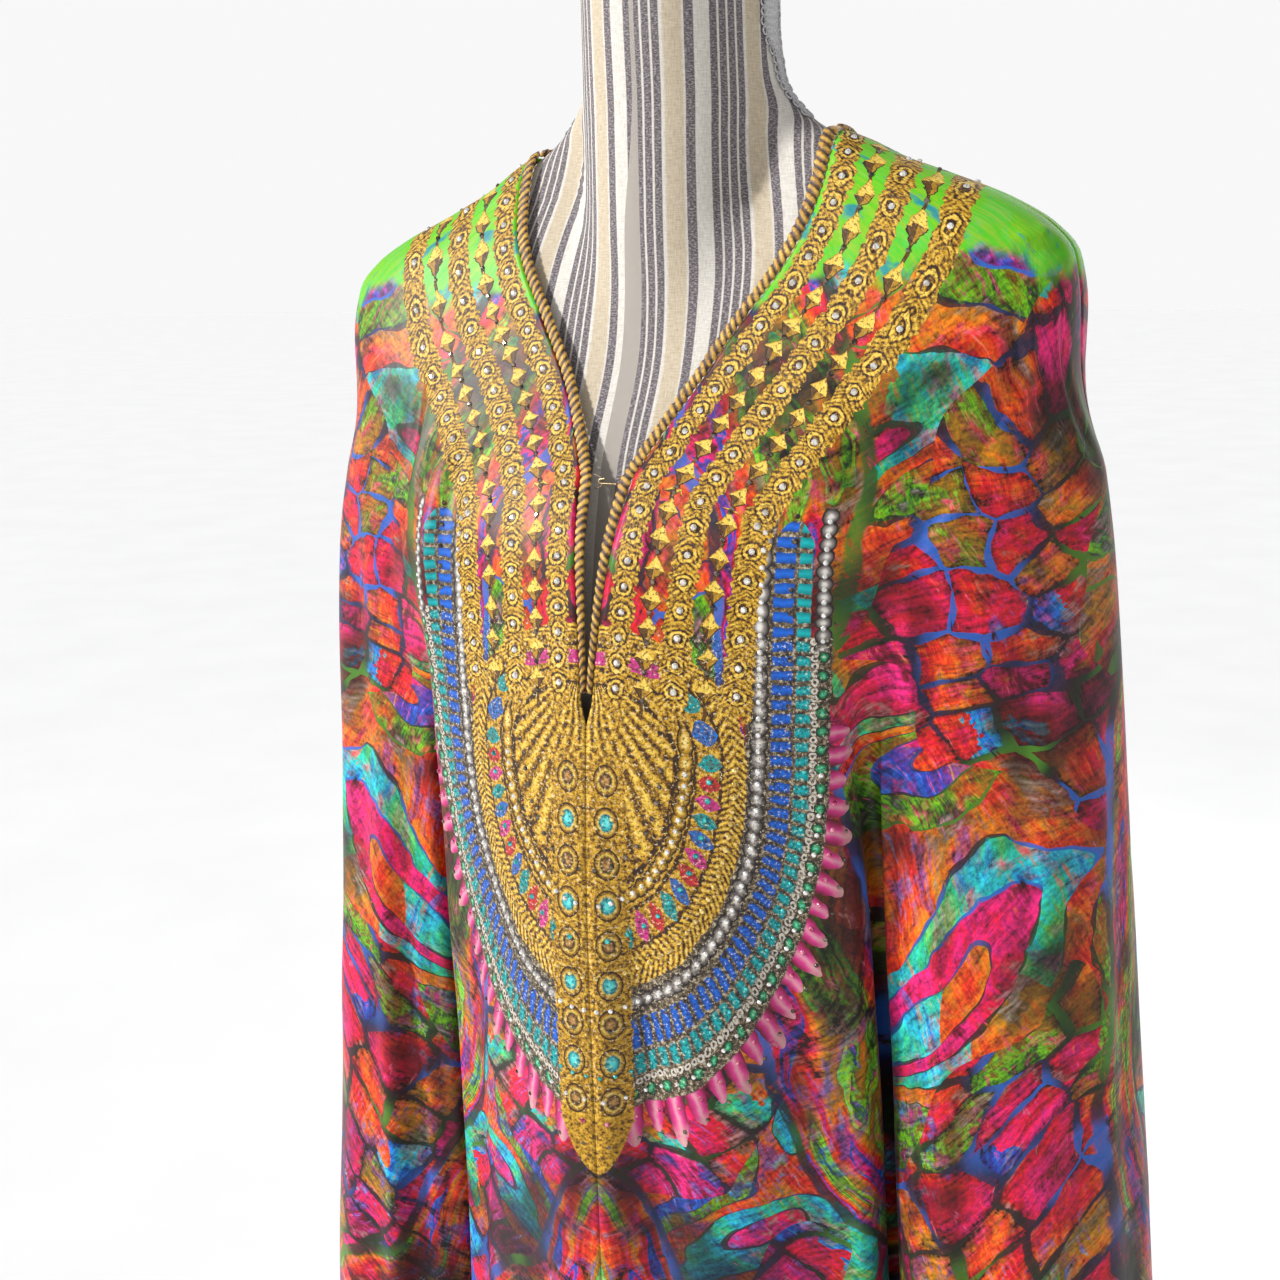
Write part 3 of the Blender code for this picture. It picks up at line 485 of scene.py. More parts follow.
def joined(name, pieces):
    """Several pieces made one."""
    bpy.ops.object.select_all(action="DESELECT")
    for piece in pieces:
        piece.select_set(True)
    bpy.context.view_layer.objects.active = pieces[0]
    bpy.ops.object.join()
    pieces[0].name = name
    pieces[0].select_set(False)
    return pieces[0]


def facing_out(surface, side, station, height):
    step = 0.004
    along = surface(side, station + step, height) - surface(side, station - step, height)
    down = surface(side, station, height - step) - surface(side, station, height + step)
    normal = np.cross(down, along) * side
    return normal / np.linalg.norm(normal, axis=-1, keepdims=True)


def surface_frame(surface, side, stations, heights):
    """Points of a surface with their level, upward and outward directions."""
    points = surface(side, stations, heights)
    outs = facing_out(surface, side, stations, heights)
    rises = surface(side, stations, heights + 0.001) - points
    ups = rises - (rises * outs).sum(axis=-1, keepdims=True) * outs
    ups /= np.linalg.norm(ups, axis=-1, keepdims=True)
    return points, np.cross(ups, outs), ups, outs


thread = Nodes("cotton_lace", 0.88)
thread_point = thread.object_point()
strands = thread.noise(thread_point, 1400.0, 2.0)[0]
thread_colour = thread.colours(strands, ((0.30, (0.30, 0.29, 0.30)), (0.65, (0.58, 0.57, 0.58))))
lace_material = thread.finish(thread_colour, thread.bump(strands, 0.0002, 0.8), Sheen_Weight=0.2)

lace_low, lace_high = 1.4275, 1.5140
form_width = form_size["half_width"]
for side, node, name in ((1, "form_lace_left", "lace_braid_left"), (-1, "form_lace_right", "lace_braid_right")):
    lace_parts = []
    heights = np.arange(lace_low, lace_high, 0.0006)
    offsets = np.linspace(-0.0040, 0.0040, 21)
    lace_stations = 1 + offsets[None, :] / (form_width(heights)[:, None] * math.pi / 2)
    tall = np.broadcast_to(heights[:, None], lace_stations.shape)
    band, _, _, band_outs = surface_frame(form_surface, side, lace_stations, tall)
    ribs = np.abs(np.sin(math.pi * (offsets[None, :] / 0.0016 + np.abs(((heights[:, None] / 0.0028) % 1) - 0.5) * 2)))
    lift = 0.0010 + 0.0007 * ribs
    band = settled(band + band_outs * lift[..., None])
    under = settled(form_surface(side, lace_stations, tall) + band_outs * 0.0004)
    rings = np.concatenate([band, under[:, ::-1]], axis=1)
    lace_parts.append(ringed_piece("lace_band", rings))
    for edge in (-1, 1):
        loop_heights = np.arange(lace_low + 0.0024, lace_high - 0.001, 0.0047)
        loop_places = 1 + edge * 0.0057 / (form_width(loop_heights) * math.pi / 2)
        points, rights, ups, outs = surface_frame(form_surface, side, loop_places, loop_heights)
        lifts = 0.0011 + 0.0002 * np.sin(np.arange(len(points)) * 2.4)[:, None]
        vertices, faces = loop_shape(0.0019, 0.00052, oval=1.10)
        lace_parts.append(placed_copies("lace_loops", vertices, faces, settled(points + outs * lifts), rights, ups, outs, 1.0))
        mesh_heights = np.arange(lace_low + 0.0036, lace_high - 0.003, 0.0040)
        mesh_places = 1 + edge * 0.0044 / (form_width(mesh_heights) * math.pi / 2)
        points, rights, ups, outs = surface_frame(form_surface, side, mesh_places, mesh_heights)
        vertices, faces = loop_shape(0.0010, 0.00030, 8, 4)
        lace_parts.append(placed_copies("lace_links", vertices, faces, settled(points + outs * 0.0016), rights, ups, outs, 1.0))
    lace_piece = joined(name, lace_parts)
    lace_piece.data.materials.append(lace_material)
    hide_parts(node)
    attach(lace_piece, "root")


# The kaftan: printed silk in two fronts and a back, each cut in one with its butterfly sleeves and
# sewn at the centre front, shoulders and outer edges. It hangs from the form's shoulders in long
# folds. Each panel is a thin shell on the same sections as its solid, with finer folds and creases.
wall = 0.0015
seam_gap = 0.0003
neck_point = 1.420
back_neck = 1.414
v_foot = 1.250
v_foot_half_gap = 0.0085
slit_end = 1.136
slit_closed = 1.118
binding_width = 0.0075
binding_width_at_slit_end = 0.003
v_neck_half_width = smooth_curve(
    (1.250, 1.270, 1.290, 1.310, 1.330, 1.345, 1.360, 1.380, 1.400, 1.420),
    (0.0085, 0.0195, 0.0310, 0.0430, 0.0560, 0.0660, 0.0745, 0.0820, 0.0850, 0.0860),
)
hem_height = smooth_curve(
    (0.00, 0.34, 0.50, 0.86, 1.00, 1.36, 1.60, 2.00),
    (0.150, 0.140, 0.110, 0.078, 0.074, 0.100, 0.132, 0.142),
)
front_stations = (0.0, 0.34, 0.42, 0.50, 0.68, 0.86, 1.0)
front_columns = ("height", "centre_y", "edge_x", "edge_y", "valley_x", "valley_y", "ridge_x", "ridge_y",
                 "wing_x", "wing_y", "outer_x", "outer_y", "seam_x", "seam_y")
left_front_rows = np.array((
    (1.300, -0.0680, 0.106, -0.064, 0.128, -0.062, 0.150, -0.059, 0.190, -0.049, 0.2220, -0.006, 0.2200, 0.024),
    (1.200, -0.1190, 0.112, -0.101, 0.134, -0.090, 0.152, -0.080, 0.203, -0.053, 0.2380, -0.004, 0.2330, 0.032),
    (1.100, -0.1300, 0.118, -0.097, 0.136, -0.072, 0.151, -0.070, 0.212, -0.052, 0.2470, -0.002, 0.2390, 0.040),
    (1.000, -0.1340, 0.127, -0.084, 0.141, -0.054, 0.156, -0.069, 0.222, -0.057, 0.2560, 0.000, 0.2460, 0.046),
    (0.800, -0.1310, 0.131, -0.068, 0.142, -0.026, 0.166, -0.074, 0.238, -0.062, 0.2730, 0.000, 0.2620, 0.052),
    (0.450, -0.1280, 0.142, -0.066, 0.150, -0.004, 0.184, -0.090, 0.264, -0.074, 0.3020, -0.002, 0.2890, 0.060),
    (0.070, -0.1250, 0.152, -0.068, 0.158, 0.006, 0.200, -0.104, 0.286, -0.086, 0.3280, -0.004, 0.3130, 0.068),
))
right_front_rows = np.array((
    (1.300, -0.0680, 0.106, -0.064, 0.128, -0.062, 0.150, -0.059, 0.190, -0.049, 0.2220, -0.006, 0.2200, 0.024),
    (1.200, -0.1190, 0.112, -0.101, 0.134, -0.090, 0.154, -0.077, 0.203, -0.053, 0.2400, -0.004, 0.2340, 0.032),
    (1.100, -0.1300, 0.118, -0.094, 0.136, -0.066, 0.158, -0.060, 0.212, -0.048, 0.2490, -0.002, 0.2400, 0.040),
    (1.000, -0.1340, 0.126, -0.080, 0.138, -0.046, 0.164, -0.056, 0.216, -0.052, 0.2520, 0.000, 0.2420, 0.046),
    (0.800, -0.1310, 0.134, -0.064, 0.142, -0.018, 0.163, -0.050, 0.230, -0.058, 0.2700, 0.000, 0.2590, 0.052),
    (0.450, -0.1280, 0.140, -0.061, 0.147, -0.002, 0.168, -0.052, 0.250, -0.070, 0.2970, -0.002, 0.2840, 0.060),
    (0.070, -0.1250, 0.146, -0.062, 0.152, 0.008, 0.174, -0.056, 0.268, -0.082, 0.3210, -0.004, 0.3060, 0.068),
))
back_stations = (1.14, 1.36, 1.46, 1.56, 2.0)
back_columns = ("height", "rear_wing_x", "rear_wing_y", "rear_ridge_x", "rear_ridge_y", "rear_valley_x",
                "rear_valley_y", "rear_edge_x", "rear_edge_y", "centre_y")
back_rows = np.array((
    (1.300, 0.206, 0.052, 0.152, 0.078, 0.130, 0.083, 0.106, 0.087, 0.0900),
    (1.200, 0.216, 0.058, 0.160, 0.084, 0.136, 0.088, 0.110, 0.095, 0.1030),
    (1.100, 0.220, 0.066, 0.164, 0.086, 0.140, 0.084, 0.114, 0.096, 0.1070),
    (1.000, 0.225, 0.074, 0.168, 0.088, 0.143, 0.075, 0.118, 0.097, 0.1120),
    (0.800, 0.238, 0.084, 0.174, 0.098, 0.148, 0.062, 0.124, 0.102, 0.1240),
    (0.450, 0.262, 0.098, 0.188, 0.114, 0.154, 0.046, 0.132, 0.110, 0.1360),
    (0.070, 0.284, 0.110, 0.202, 0.126, 0.160, 0.036, 0.140, 0.118, 0.1440),
))
front_size = {1: column_curves(left_front_rows, front_columns), -1: column_curves(right_front_rows, front_columns)}
back_size = column_curves(back_rows, back_columns)
fold_columns = ("side", "station", "half_width", "height", "top", "foot")
soft_folds = (
    (1, 0.075, 0.068, -0.0130, 1.12, 0.90),
    (1, 0.200, 0.060, 0.0055, 1.05, 0.75),
    (1, 0.275, 0.045, -0.0040, 1.00, 0.60),
    (1, 0.345, 0.030, 0.0050, 1.06, 0.80),
    (1, 0.415, 0.036, -0.0150, 1.18, 0.95),
    (1, 0.462, 0.020, 0.0055, 1.20, 0.98),
    (1, 0.505, 0.022, -0.0035, 1.14, 0.86),
    (1, 0.548, 0.026, 0.0045, 1.10, 0.84),
    (1, 0.590, 0.055, -0.0085, 0.98, 0.55),
    (1, 0.760, 0.070, 0.0070, 0.90, 0.40),
    (-1, 0.050, 0.050, 0.0022, 1.12, 0.90),
    (-1, 0.130, 0.060, -0.0050, 0.98, 0.66),
    (-1, 0.230, 0.060, 0.0055, 1.00, 0.60),
    (-1, 0.425, 0.040, -0.0160, 1.18, 0.96),
    (-1, 0.472, 0.022, 0.0045, 1.16, 0.92),
    (-1, 0.540, 0.030, -0.0040, 1.10, 0.80),
    (-1, 0.580, 0.028, 0.0035, 1.06, 0.78),
    (-1, 0.620, 0.060, -0.0070, 0.90, 0.45),
    (1, 1.240, 0.070, -0.0070, 0.95, 0.50),
    (1, 1.680, 0.080, -0.0080, 1.00, 0.45),
    (1, 1.820, 0.070, 0.0070, 1.10, 0.60),
    (-1, 1.220, 0.080, -0.0080, 0.90, 0.45),
    (-1, 1.700, 0.070, 0.0070, 1.05, 0.55),
    (-1, 1.860, 0.070, -0.0080, 0.95, 0.40),
)


def hanging_section(side, station, height):
    """Points of the free cloth: a rounded curve through the fold points of each height."""
    size = front_size[side]
    flat_height = height.ravel()
    stations, xs, ys = list(front_stations), [np.zeros_like(flat_height)], [size["centre_y"](flat_height)]
    for name in ("edge", "valley", "ridge", "wing", "outer", "seam"):
        xs.append(size[name + "_x"](flat_height))
        ys.append(size[name + "_y"](flat_height))
    for at, name in zip(back_stations, ("rear_wing", "rear_ridge", "rear_valley", "rear_edge", "centre")):
        stations.append(at)
        xs.append(np.zeros_like(flat_height) if name == "centre" else back_size[name + "_x"](flat_height))
        ys.append(back_size[name + "_y"](flat_height))
    stations = np.array([-stations[1], *stations, 4.0 - stations[-2]])
    controls = np.stack([np.stack([-xs[1], *xs, -xs[-2]]), np.stack([ys[1], *ys, ys[-2]])], axis=-1)
    at = station.ravel()
    i = np.clip(np.searchsorted(stations, at) - 1, 1, len(stations) - 3)
    column = np.arange(len(at))
    s0, s1, s2, s3 = (stations[i + k] for k in (-1, 0, 1, 2))
    p0, p1, p2, p3 = (controls[i + k, column] for k in (-1, 0, 1, 2))
    t = ((at - s1) / (s2 - s1))[:, None]
    m1 = (p2 - p0) * ((s2 - s1) / (s2 - s0))[:, None]
    m2 = (p3 - p1) * ((s2 - s1) / (s3 - s1))[:, None]
    xy = (2 * t**3 - 3 * t**2 + 1) * p1 + (t**3 - 2 * t**2 + t) * m1 + (3 * t**2 - 2 * t**3) * p2 + (t**3 - t**2) * m2
    return np.stack([side * xy[:, 0], xy[:, 1], flat_height], axis=-1).reshape(*height.shape, 3)


def plain_cloth(side, station, height):
    """The cloth's outer face: on the form above the chest, hanging free below it."""
    station, height = np.broadcast_arrays(np.asarray(station, float), np.asarray(height, float))
    on_ridge = 1 - eased(np.abs(station - 1), 0.10, 0.45)
    resting = on_ridge * eased(height, 1.352, 1.376) * (1 - eased(height, 1.402, 1.412))
    clearance = 0.0030 + (0.0005 - 0.0030) * resting
    worn = form_surface(side, station, height)
    worn = worn + facing_out(form_surface, side, station, height) * (clearance + wall)[..., None]
    free = (1 - eased(height, 1.245, 1.340))[..., None]
    return worn * (1 - free) + hanging_section(side, station, height) * free


# Smaller folds and creases than the solid has, on both sides and at the back. A crease runs from one
# (station, height) to another; a positive rise stands out and a negative one sinks in.
crease_columns = ("side", "from_station", "from_height", "to_station", "to_height", "half_width", "rise")
creases = (
    (1, 0.700, 1.3605, 0.960, 1.3660, 0.0028, 0.0052),
    (1, 0.700, 1.3545, 0.960, 1.3600, 0.0042, -0.0056),
    (1, 0.755, 1.336, 0.772, 1.288, 0.0028, 0.0028),
    (1, 0.770, 1.300, 0.614, 1.248, 0.0030, 0.0032),
    (1, 0.622, 1.254, 0.521, 1.205, 0.0034, 0.0034),
    (1, 0.523, 1.218, 0.521, 1.090, 0.0050, 0.0038),
    (1, 0.715, 1.332, 0.730, 1.284, 0.0060, -0.0030),
    (1, 0.728, 1.292, 0.575, 1.238, 0.0070, -0.0036),
    (1, 0.585, 1.244, 0.482, 1.190, 0.0090, -0.0036),
    (1, 0.772, 1.2935, 0.815, 1.2865, 0.0022, 0.0018),
    (1, 0.772, 1.2880, 0.815, 1.2810, 0.0032, -0.0020),
    (1, 0.698, 1.2450, 0.752, 1.2390, 0.0022, 0.0018),
    (1, 0.698, 1.2395, 0.752, 1.2335, 0.0032, -0.0020),
    (1, 0.86, 1.345, 0.84, 1.240, 0.0030, 0.0016),
    (1, 0.88, 1.340, 0.86, 1.240, 0.0050, -0.0020),
    (1, 0.76, 1.225, 0.90, 1.219, 0.0026, 0.0012),
    (1, 0.80, 1.335, 0.78, 1.180, 0.0080, -0.0024),
    (1, 0.69, 1.200, 0.66, 0.860, 0.0110, -0.0044),
    (1, 0.735, 1.210, 0.70, 0.900, 0.0060, 0.0022),
    (1, 0.80, 1.150, 0.77, 0.700, 0.0110, 0.0040),
    (1, 0.25, 1.020, 0.29, 0.620, 0.0090, -0.0038),
    (1, 0.31, 1.060, 0.325, 0.500, 0.0070, 0.0028),
    (1, 0.14, 0.980, 0.135, 0.420, 0.0080, 0.0034),
    (1, 0.60, 0.720, 0.62, 0.120, 0.0140, 0.0040),
    (-1, 0.42, 1.330, 0.44, 1.190, 0.0034, 0.0020),
    (-1, 0.46, 1.325, 0.47, 1.180, 0.0060, -0.0024),
    (-1, 0.30, 1.300, 0.32, 1.170, 0.0090, -0.0024),
    (-1, 0.36, 1.290, 0.37, 1.120, 0.0080, 0.0024),
    (-1, 0.55, 1.300, 0.52, 1.140, 0.0080, -0.0024),
    (-1, 0.66, 1.260, 0.64, 0.960, 0.0110, -0.0032),
    (-1, 0.74, 1.290, 0.72, 0.820, 0.0130, 0.0034),
    (-1, 0.58, 1.100, 0.575, 0.640, 0.0110, 0.0036),
    (-1, 0.26, 1.010, 0.28, 0.560, 0.0110, -0.0034),
    (-1, 0.14, 0.900, 0.13, 0.350, 0.0130, 0.0030),
    (-1, 0.70, 0.700, 0.71, 0.120, 0.0150, -0.0040),
    (1, 1.30, 1.260, 1.28, 0.900, 0.0110, -0.0034),
    (1, 1.46, 1.240, 1.50, 1.080, 0.0100, -0.0028),
    (1, 1.62, 1.150, 1.66, 0.500, 0.0130, 0.0036),
    (1, 1.74, 1.300, 1.70, 1.120, 0.0110, -0.0026),
    (1, 1.90, 1.060, 1.92, 0.340, 0.0130, -0.0034),
    (1, 1.16, 0.820, 1.15, 0.160, 0.0140, 0.0036),
    (-1, 1.32, 1.240, 1.30, 0.840, 0.0120, -0.0034),
    (-1, 1.48, 1.250, 1.52, 1.060, 0.0100, -0.0026),
    (-1, 1.60, 1.100, 1.63, 0.420, 0.0130, 0.0034),
    (-1, 1.78, 1.290, 1.72, 1.130, 0.0110, -0.0026),
    (-1, 1.92, 0.960, 1.94, 0.300, 0.0120, 0.0030),
    (-1, 1.14, 0.760, 1.16, 0.140, 0.0140, -0.0036),
)


def fold_rise(side, station, height, section_length):
    """How far the folds and creases stand out from the plain cloth."""
    rise = np.zeros_like(height)
    for fold_side, centre, half_width, size, top, foot in soft_folds:
        if fold_side == side:
            across = np.clip(np.abs(station - centre) / half_width, 0, 1)
            rise += size * np.cos(across * math.pi / 2) ** 2 * (1 - eased(height, foot, top))
    for crease_side, station_a, height_a, station_b, height_b, half_width, size in creases:
        if crease_side != side:
            continue
        share = np.clip((height - height_a) / (height_b - height_a), 0, 1)
        bend = math.sin(station_a * 37 + height_a * 23) * 0.012 * np.sin(share * math.pi)
        across = np.abs(station - (station_a + (station_b - station_a) * share) - bend) * section_length
        if abs(height_a - height_b) < 0.02:
            share = np.clip((station - station_a) / (station_b - station_a), 0, 1)
            across = np.abs(height - (height_a + (height_b - height_a) * share))
            ends = eased(share, 0.0, 0.25) * (1 - eased(share, 0.75, 1.0))
        else:
            low, high = min(height_a, height_b), max(height_a, height_b)
            fade = min(0.10, (high - low) * 0.4)
            ends = eased(height, low, low + fade) * (1 - eased(height, high - fade, high))
        sharpness = 1.2 if half_width < 0.005 else 2.0
        rise += size * np.exp(-((across / half_width) ** sharpness)) * ends
    # A faint unevenness of the silk, the same on every run.
    rise += 0.0005 * np.sin(station * 41 + height * 17 + side) * np.sin(height * 29 - station * 13) * (1 - eased(height, 1.05, 1.25))
    return rise


def clear_of_form(points):
    """Points moved out from the form's body where a deep fold would reach into it."""
    height = points[..., 2]
    power = form_size["power"](height)
    half_depth = np.where(points[..., 1] < 0, form_size["front"](height), form_size["back"](height))
    level = (np.abs(points[..., 0]) / (form_size["half_width"](height) + 0.0030)) ** power
    level = (level + (np.abs(points[..., 1]) / (half_depth + 0.0030)) ** power) ** (1 / power)
    beside = (height > 0.805) & (height < 1.150)
    points[..., :2] /= np.where(beside, np.minimum(level, 1.0), 1.0)[..., None]
    return points


def centre_gap(height):
    """Half the gap at the centre front: the seam, and the slit with its binding above it."""
    share = np.clip((height - slit_end) / (v_foot - slit_end), 0, 1)
    open_half = seam_gap + (v_foot_half_gap - seam_gap) * share**1.5
    binding = binding_width_at_slit_end + (binding_width - binding_width_at_slit_end) * share
    slit = open_half + binding + seam_gap
    return seam_gap / 2 + (slit - seam_gap / 2) * eased(height, slit_closed, slit_end)


def hand_gap(height):
    """Half the width of the hand opening in the outer seam."""
    share = np.clip(np.abs(height - 0.945) / 0.115, 0, 1)
    return seam_gap / 2 + 0.024 * np.cos(share * math.pi / 2) ** 0.7 * (share < 1)


def panel_cloth(side, station, height, rear=False):
    """A panel's outer face, parted at the centre front and along the outer seam."""
    station, height = np.broadcast_arrays(np.asarray(station, float), np.asarray(height, float))
    share = (1 - eased(station, 1.0, 1.2)) if rear else -eased(station, 0.78, 1.0)
    moved = station + share * hand_gap(height) / 0.26
    points = plain_cloth(side, moved, height)
    apart = centre_gap(height) * (1 - eased(station, 0.0, 0.12)) * (station < 0.12)
    points[..., 0] += side * apart
    return points


def top_of_panel(side, stations, rear=False):
    """Where each column of a panel starts: along the binding of the neck."""
    if rear:
        share = eased(stations, 1.0, 1.8)
        drop = 0.0036 + 0.0040 * share
        return neck_point + (back_neck - neck_point) * share - drop
    low, high = np.full_like(stations, v_foot), np.full_like(stations, neck_point)
    for _ in range(24):
        middle = (low + high) / 2
        edge = v_neck_half_width(middle) + binding_width + seam_gap
        inside = np.abs(panel_cloth(side, stations, middle)[..., 0]) > edge
        low, high = np.where(inside, middle, low), np.where(inside, high, middle)
    return (low + high) / 2


def panel_rows(side, stations, rows, rear=False):
    """The height of every grid point: rows at even shares of the cloth's length, closer at the top."""
    top, foot = top_of_panel(side, stations, rear), hem_height(stations)
    fine = (np.linspace(0, 1, 260) ** 1.5)[:, None]
    heights = top[None, :] + (foot - top)[None, :] * fine
    points = panel_cloth(side, np.broadcast_to(stations, heights.shape), heights, rear)
    lengths = np.concatenate([np.zeros((1, len(stations))), np.cumsum(np.linalg.norm(np.diff(points, axis=0), axis=2), axis=0)])
    shares = 0.62 * np.linspace(0, 1, rows) + 0.38 * np.linspace(0, 1, rows) ** 2.4
    grid = [np.interp(shares * lengths[-1, c], lengths[:, c], heights[:, c]) for c in range(len(stations))]
    return np.array(grid).T


def edge_path():
    """The slit's and the neck's edge on the wearer's left, from the slit's end round to the centre back."""
    heights = np.linspace(slit_end, v_foot, 40)
    share = (heights - slit_end) / (v_foot - slit_end)
    xs = seam_gap + (v_foot_half_gap - seam_gap) * share**1.5
    v_heights = np.linspace(v_foot, neck_point - 0.0015, 170)[1:]
    heights, xs = np.concatenate([heights, v_heights]), np.concatenate([xs, v_neck_half_width(v_heights)])
    low, high = np.zeros_like(heights), np.ones_like(heights)
    for _ in range(24):
        middle = (low + high) / 2
        inside = plain_cloth(1, middle, heights)[..., 0] < xs
        low, high = np.where(inside, middle, low), np.where(inside, high, middle)
    front = plain_cloth(1, low, heights)
    stations = np.linspace(1.0, 2.0, 60)
    share = eased(stations, 1.0, 1.8)
    rear = plain_cloth(1, stations, neck_point + (back_neck - neck_point) * share)
    return front, rear


front_edge, rear_edge = edge_path()


def edge_measure(points, edge):
    """Each point's place along the neck's edge and its distance from it."""
    lengths = np.concatenate([[0.0], np.cumsum(np.linalg.norm(np.diff(edge, axis=0), axis=1))])
    mirrored = points * (np.sign(points[..., :1]) * (1, 0, 0) + (0, 1, 1))
    flat = mirrored.reshape(-1, 3)
    along, away = np.zeros(len(flat)), np.zeros(len(flat))
    for start in range(0, len(flat), 4000):
        part = flat[start:start + 4000]
        nearest = np.argmin(((part[:, None] - edge[None]) ** 2).sum(axis=2), axis=1)
        nearest = np.clip(nearest, 1, len(edge) - 2)
        before, after = edge[nearest - 1], edge[nearest + 1]
        run = after - before
        share = np.clip(((part - before) * run).sum(axis=1) / (run * run).sum(axis=1), 0, 1)
        foot = before + run * share[:, None]
        along[start:start + 4000] = lengths[nearest - 1] + (lengths[nearest + 1] - lengths[nearest - 1]) * share
        away[start:start + 4000] = np.linalg.norm(part - foot, axis=1)
    return along.reshape(points.shape[:-1]), away.reshape(points.shape[:-1])


def cloth_panel(name, parts, rows, rear=False):
    """One panel as a thin shell, with UV maps in metres: 'cut' is the flat cloth, 'neck' the neck's edge."""
    outers, cuts, necks = [], [], []
    for side, stations in parts:
        heights = panel_rows(side, stations, rows, rear)
        grid_stations = np.broadcast_to(stations, heights.shape)
        points = panel_cloth(side, grid_stations, heights, rear)
        section = 0.30 if not rear else 0.32
        normals = facing_out(lambda s, a, b: panel_cloth(s, a, b, rear), side, grid_stations, heights)
        if not rear:
            normals[:, 0, 0] = 0.0
            normals[:, 0] /= np.linalg.norm(normals[:, 0], axis=-1, keepdims=True)
        edge_share = eased(np.abs(grid_stations - 1), 0.0, 0.05) * (1.0 if rear else eased(grid_stations, 0.0, 0.03))
        rise = fold_rise(side, grid_stations, heights, section) * edge_share
        rise *= eased(1.30 - heights, -0.10, 0.02) * 0.75 + 0.25
        outers.append(clear_of_form(points + normals * rise[..., None]))
        start = 2.0 if rear else 0.0
        lengths = np.zeros(heights.shape)
        sample = np.linspace(start, 1.0, 161)
        for r in range(heights.shape[0]):
            mean_height = float(heights[r].mean())
            line = plain_cloth(side, sample, np.full(161, mean_height))
            run = np.concatenate([[0.0], np.cumsum(np.linalg.norm(np.diff(line, axis=0), axis=1))])
            order = np.argsort(sample)
            lengths[r] = np.interp(grid_stations[r], sample[order], run[order])
        cuts.append(np.stack([lengths, heights], axis=-1))
        necks.append(np.stack(edge_measure(points, rear_edge if rear else front_edge), axis=-1))
    if len(parts) == 2:
        outers, cuts, necks = ([a, b[:, ::-1][:, 1:]] for a, b in (outers, cuts, necks))
    outer, cut, neck = (np.concatenate(x, axis=1) for x in (outers, cuts, necks))
    count_rows, count_columns = outer.shape[:2]
    faces = []
    for r in range(count_rows - 1):
        for c in range(count_columns - 1):
            a, b = r * count_columns + c, (r + 1) * count_columns + c
            faces.append((a, b, b + 1, a + 1) if parts[0][0] == 1 else (a, a + 1, b + 1, b))
    piece = new_mesh(name, settled(outer).reshape(-1, 3), faces)
    corners = np.empty(len(piece.data.loops), dtype=np.int32)
    piece.data.loops.foreach_get("vertex_index", corners)
    for layer_name, values in (("cut", cut), ("neck", neck)):
        layer = piece.data.uv_layers.new(name=layer_name)
        layer.data.foreach_set("uv", values.reshape(-1, 2)[corners].astype(np.float32).ravel())
    return piece, {"points": settled(outer), "cut": cut, "neck": neck, "side": parts[0][0]}


def give_thickness(piece, thickness):
    """A thin shell's wall, inwards from its outer face."""
    modifier = piece.modifiers.new("wall", "SOLIDIFY")
    modifier.thickness = thickness
    modifier.offset = -1.0
    bpy.ops.object.select_all(action="DESELECT")
    bpy.context.view_layer.objects.active = piece
    piece.select_set(True)
    bpy.ops.object.modifier_apply(modifier=modifier.name)
    piece.select_set(False)


def front_stations_fine(count):
    """Columns that are closer over the narrow folds than across the flat parts."""
    knots = (0.0, 0.30, 0.36, 0.52, 0.60, 1.0)
    weights = (1.0, 1.3, 2.2, 2.0, 1.0, 1.0)
    fine = np.linspace(0, 1, 2001)
    density = np.interp(fine, knots, weights)
    total = np.concatenate([[0.0], np.cumsum((density[1:] + density[:-1]) / 2)])
    return np.interp(np.linspace(0, total[-1], count), total, fine)


left_panel, left_cloth = cloth_panel("kaftan_left_front", [(1, front_stations_fine(150))], 215)
right_panel, right_cloth = cloth_panel("kaftan_right_front", [(-1, front_stations_fine(150))], 215)
back_half = np.sort(2.0 - front_stations_fine(96))
back_panel, back_cloth = cloth_panel("kaftan_rear", [(1, back_half), (-1, back_half)], 190, rear=True)


# The silk's print: broad painted strokes in warm and cool colours, fields of small painted blocks with
# coloured gaps, and long ribbons that sweep down from the shoulders. It reads the flat cloth, so both
# fronts mirror each other at the centre seam.
silk = Nodes("printed_silk", 0.46)
cut_u, cut_v, _ = silk.parts(silk.add("ShaderNodeUVMap", uv_map="cut").outputs[0])
edge_along, edge_away, _ = silk.parts(silk.add("ShaderNodeUVMap", uv_map="neck").outputs[0])
flat_cloth = silk.vector(cut_u, cut_v)
bend = silk.parts(silk.noise(flat_cloth, 5.0, 1.0)[1])
ripple = silk.parts(silk.noise(flat_cloth, 30.0, 2.0)[1])
bent_u = silk.sum("MULTIPLY_ADD", ripple[0], 0.012, silk.sum("MULTIPLY_ADD", bend[0], 0.15, cut_u))
bent_v = silk.sum("MULTIPLY_ADD", ripple[1], 0.012, silk.sum("MULTIPLY_ADD", bend[1], 0.15, cut_v))
fine_bend = silk.noise(flat_cloth, 38.0, 2.0)[0]
slant = silk.sum("MULTIPLY_ADD", bent_v, 0.62, silk.sum("MULTIPLY", bent_u, 0.80))
cross_slant = silk.sum("MULTIPLY_ADD", bent_u, -0.62, silk.sum("MULTIPLY", bent_v, 0.78))
brush_across = silk.noise(silk.vector(silk.sum("MULTIPLY", slant, 6.0), cross_slant), 52.0, 5.0, 0.64)[0]
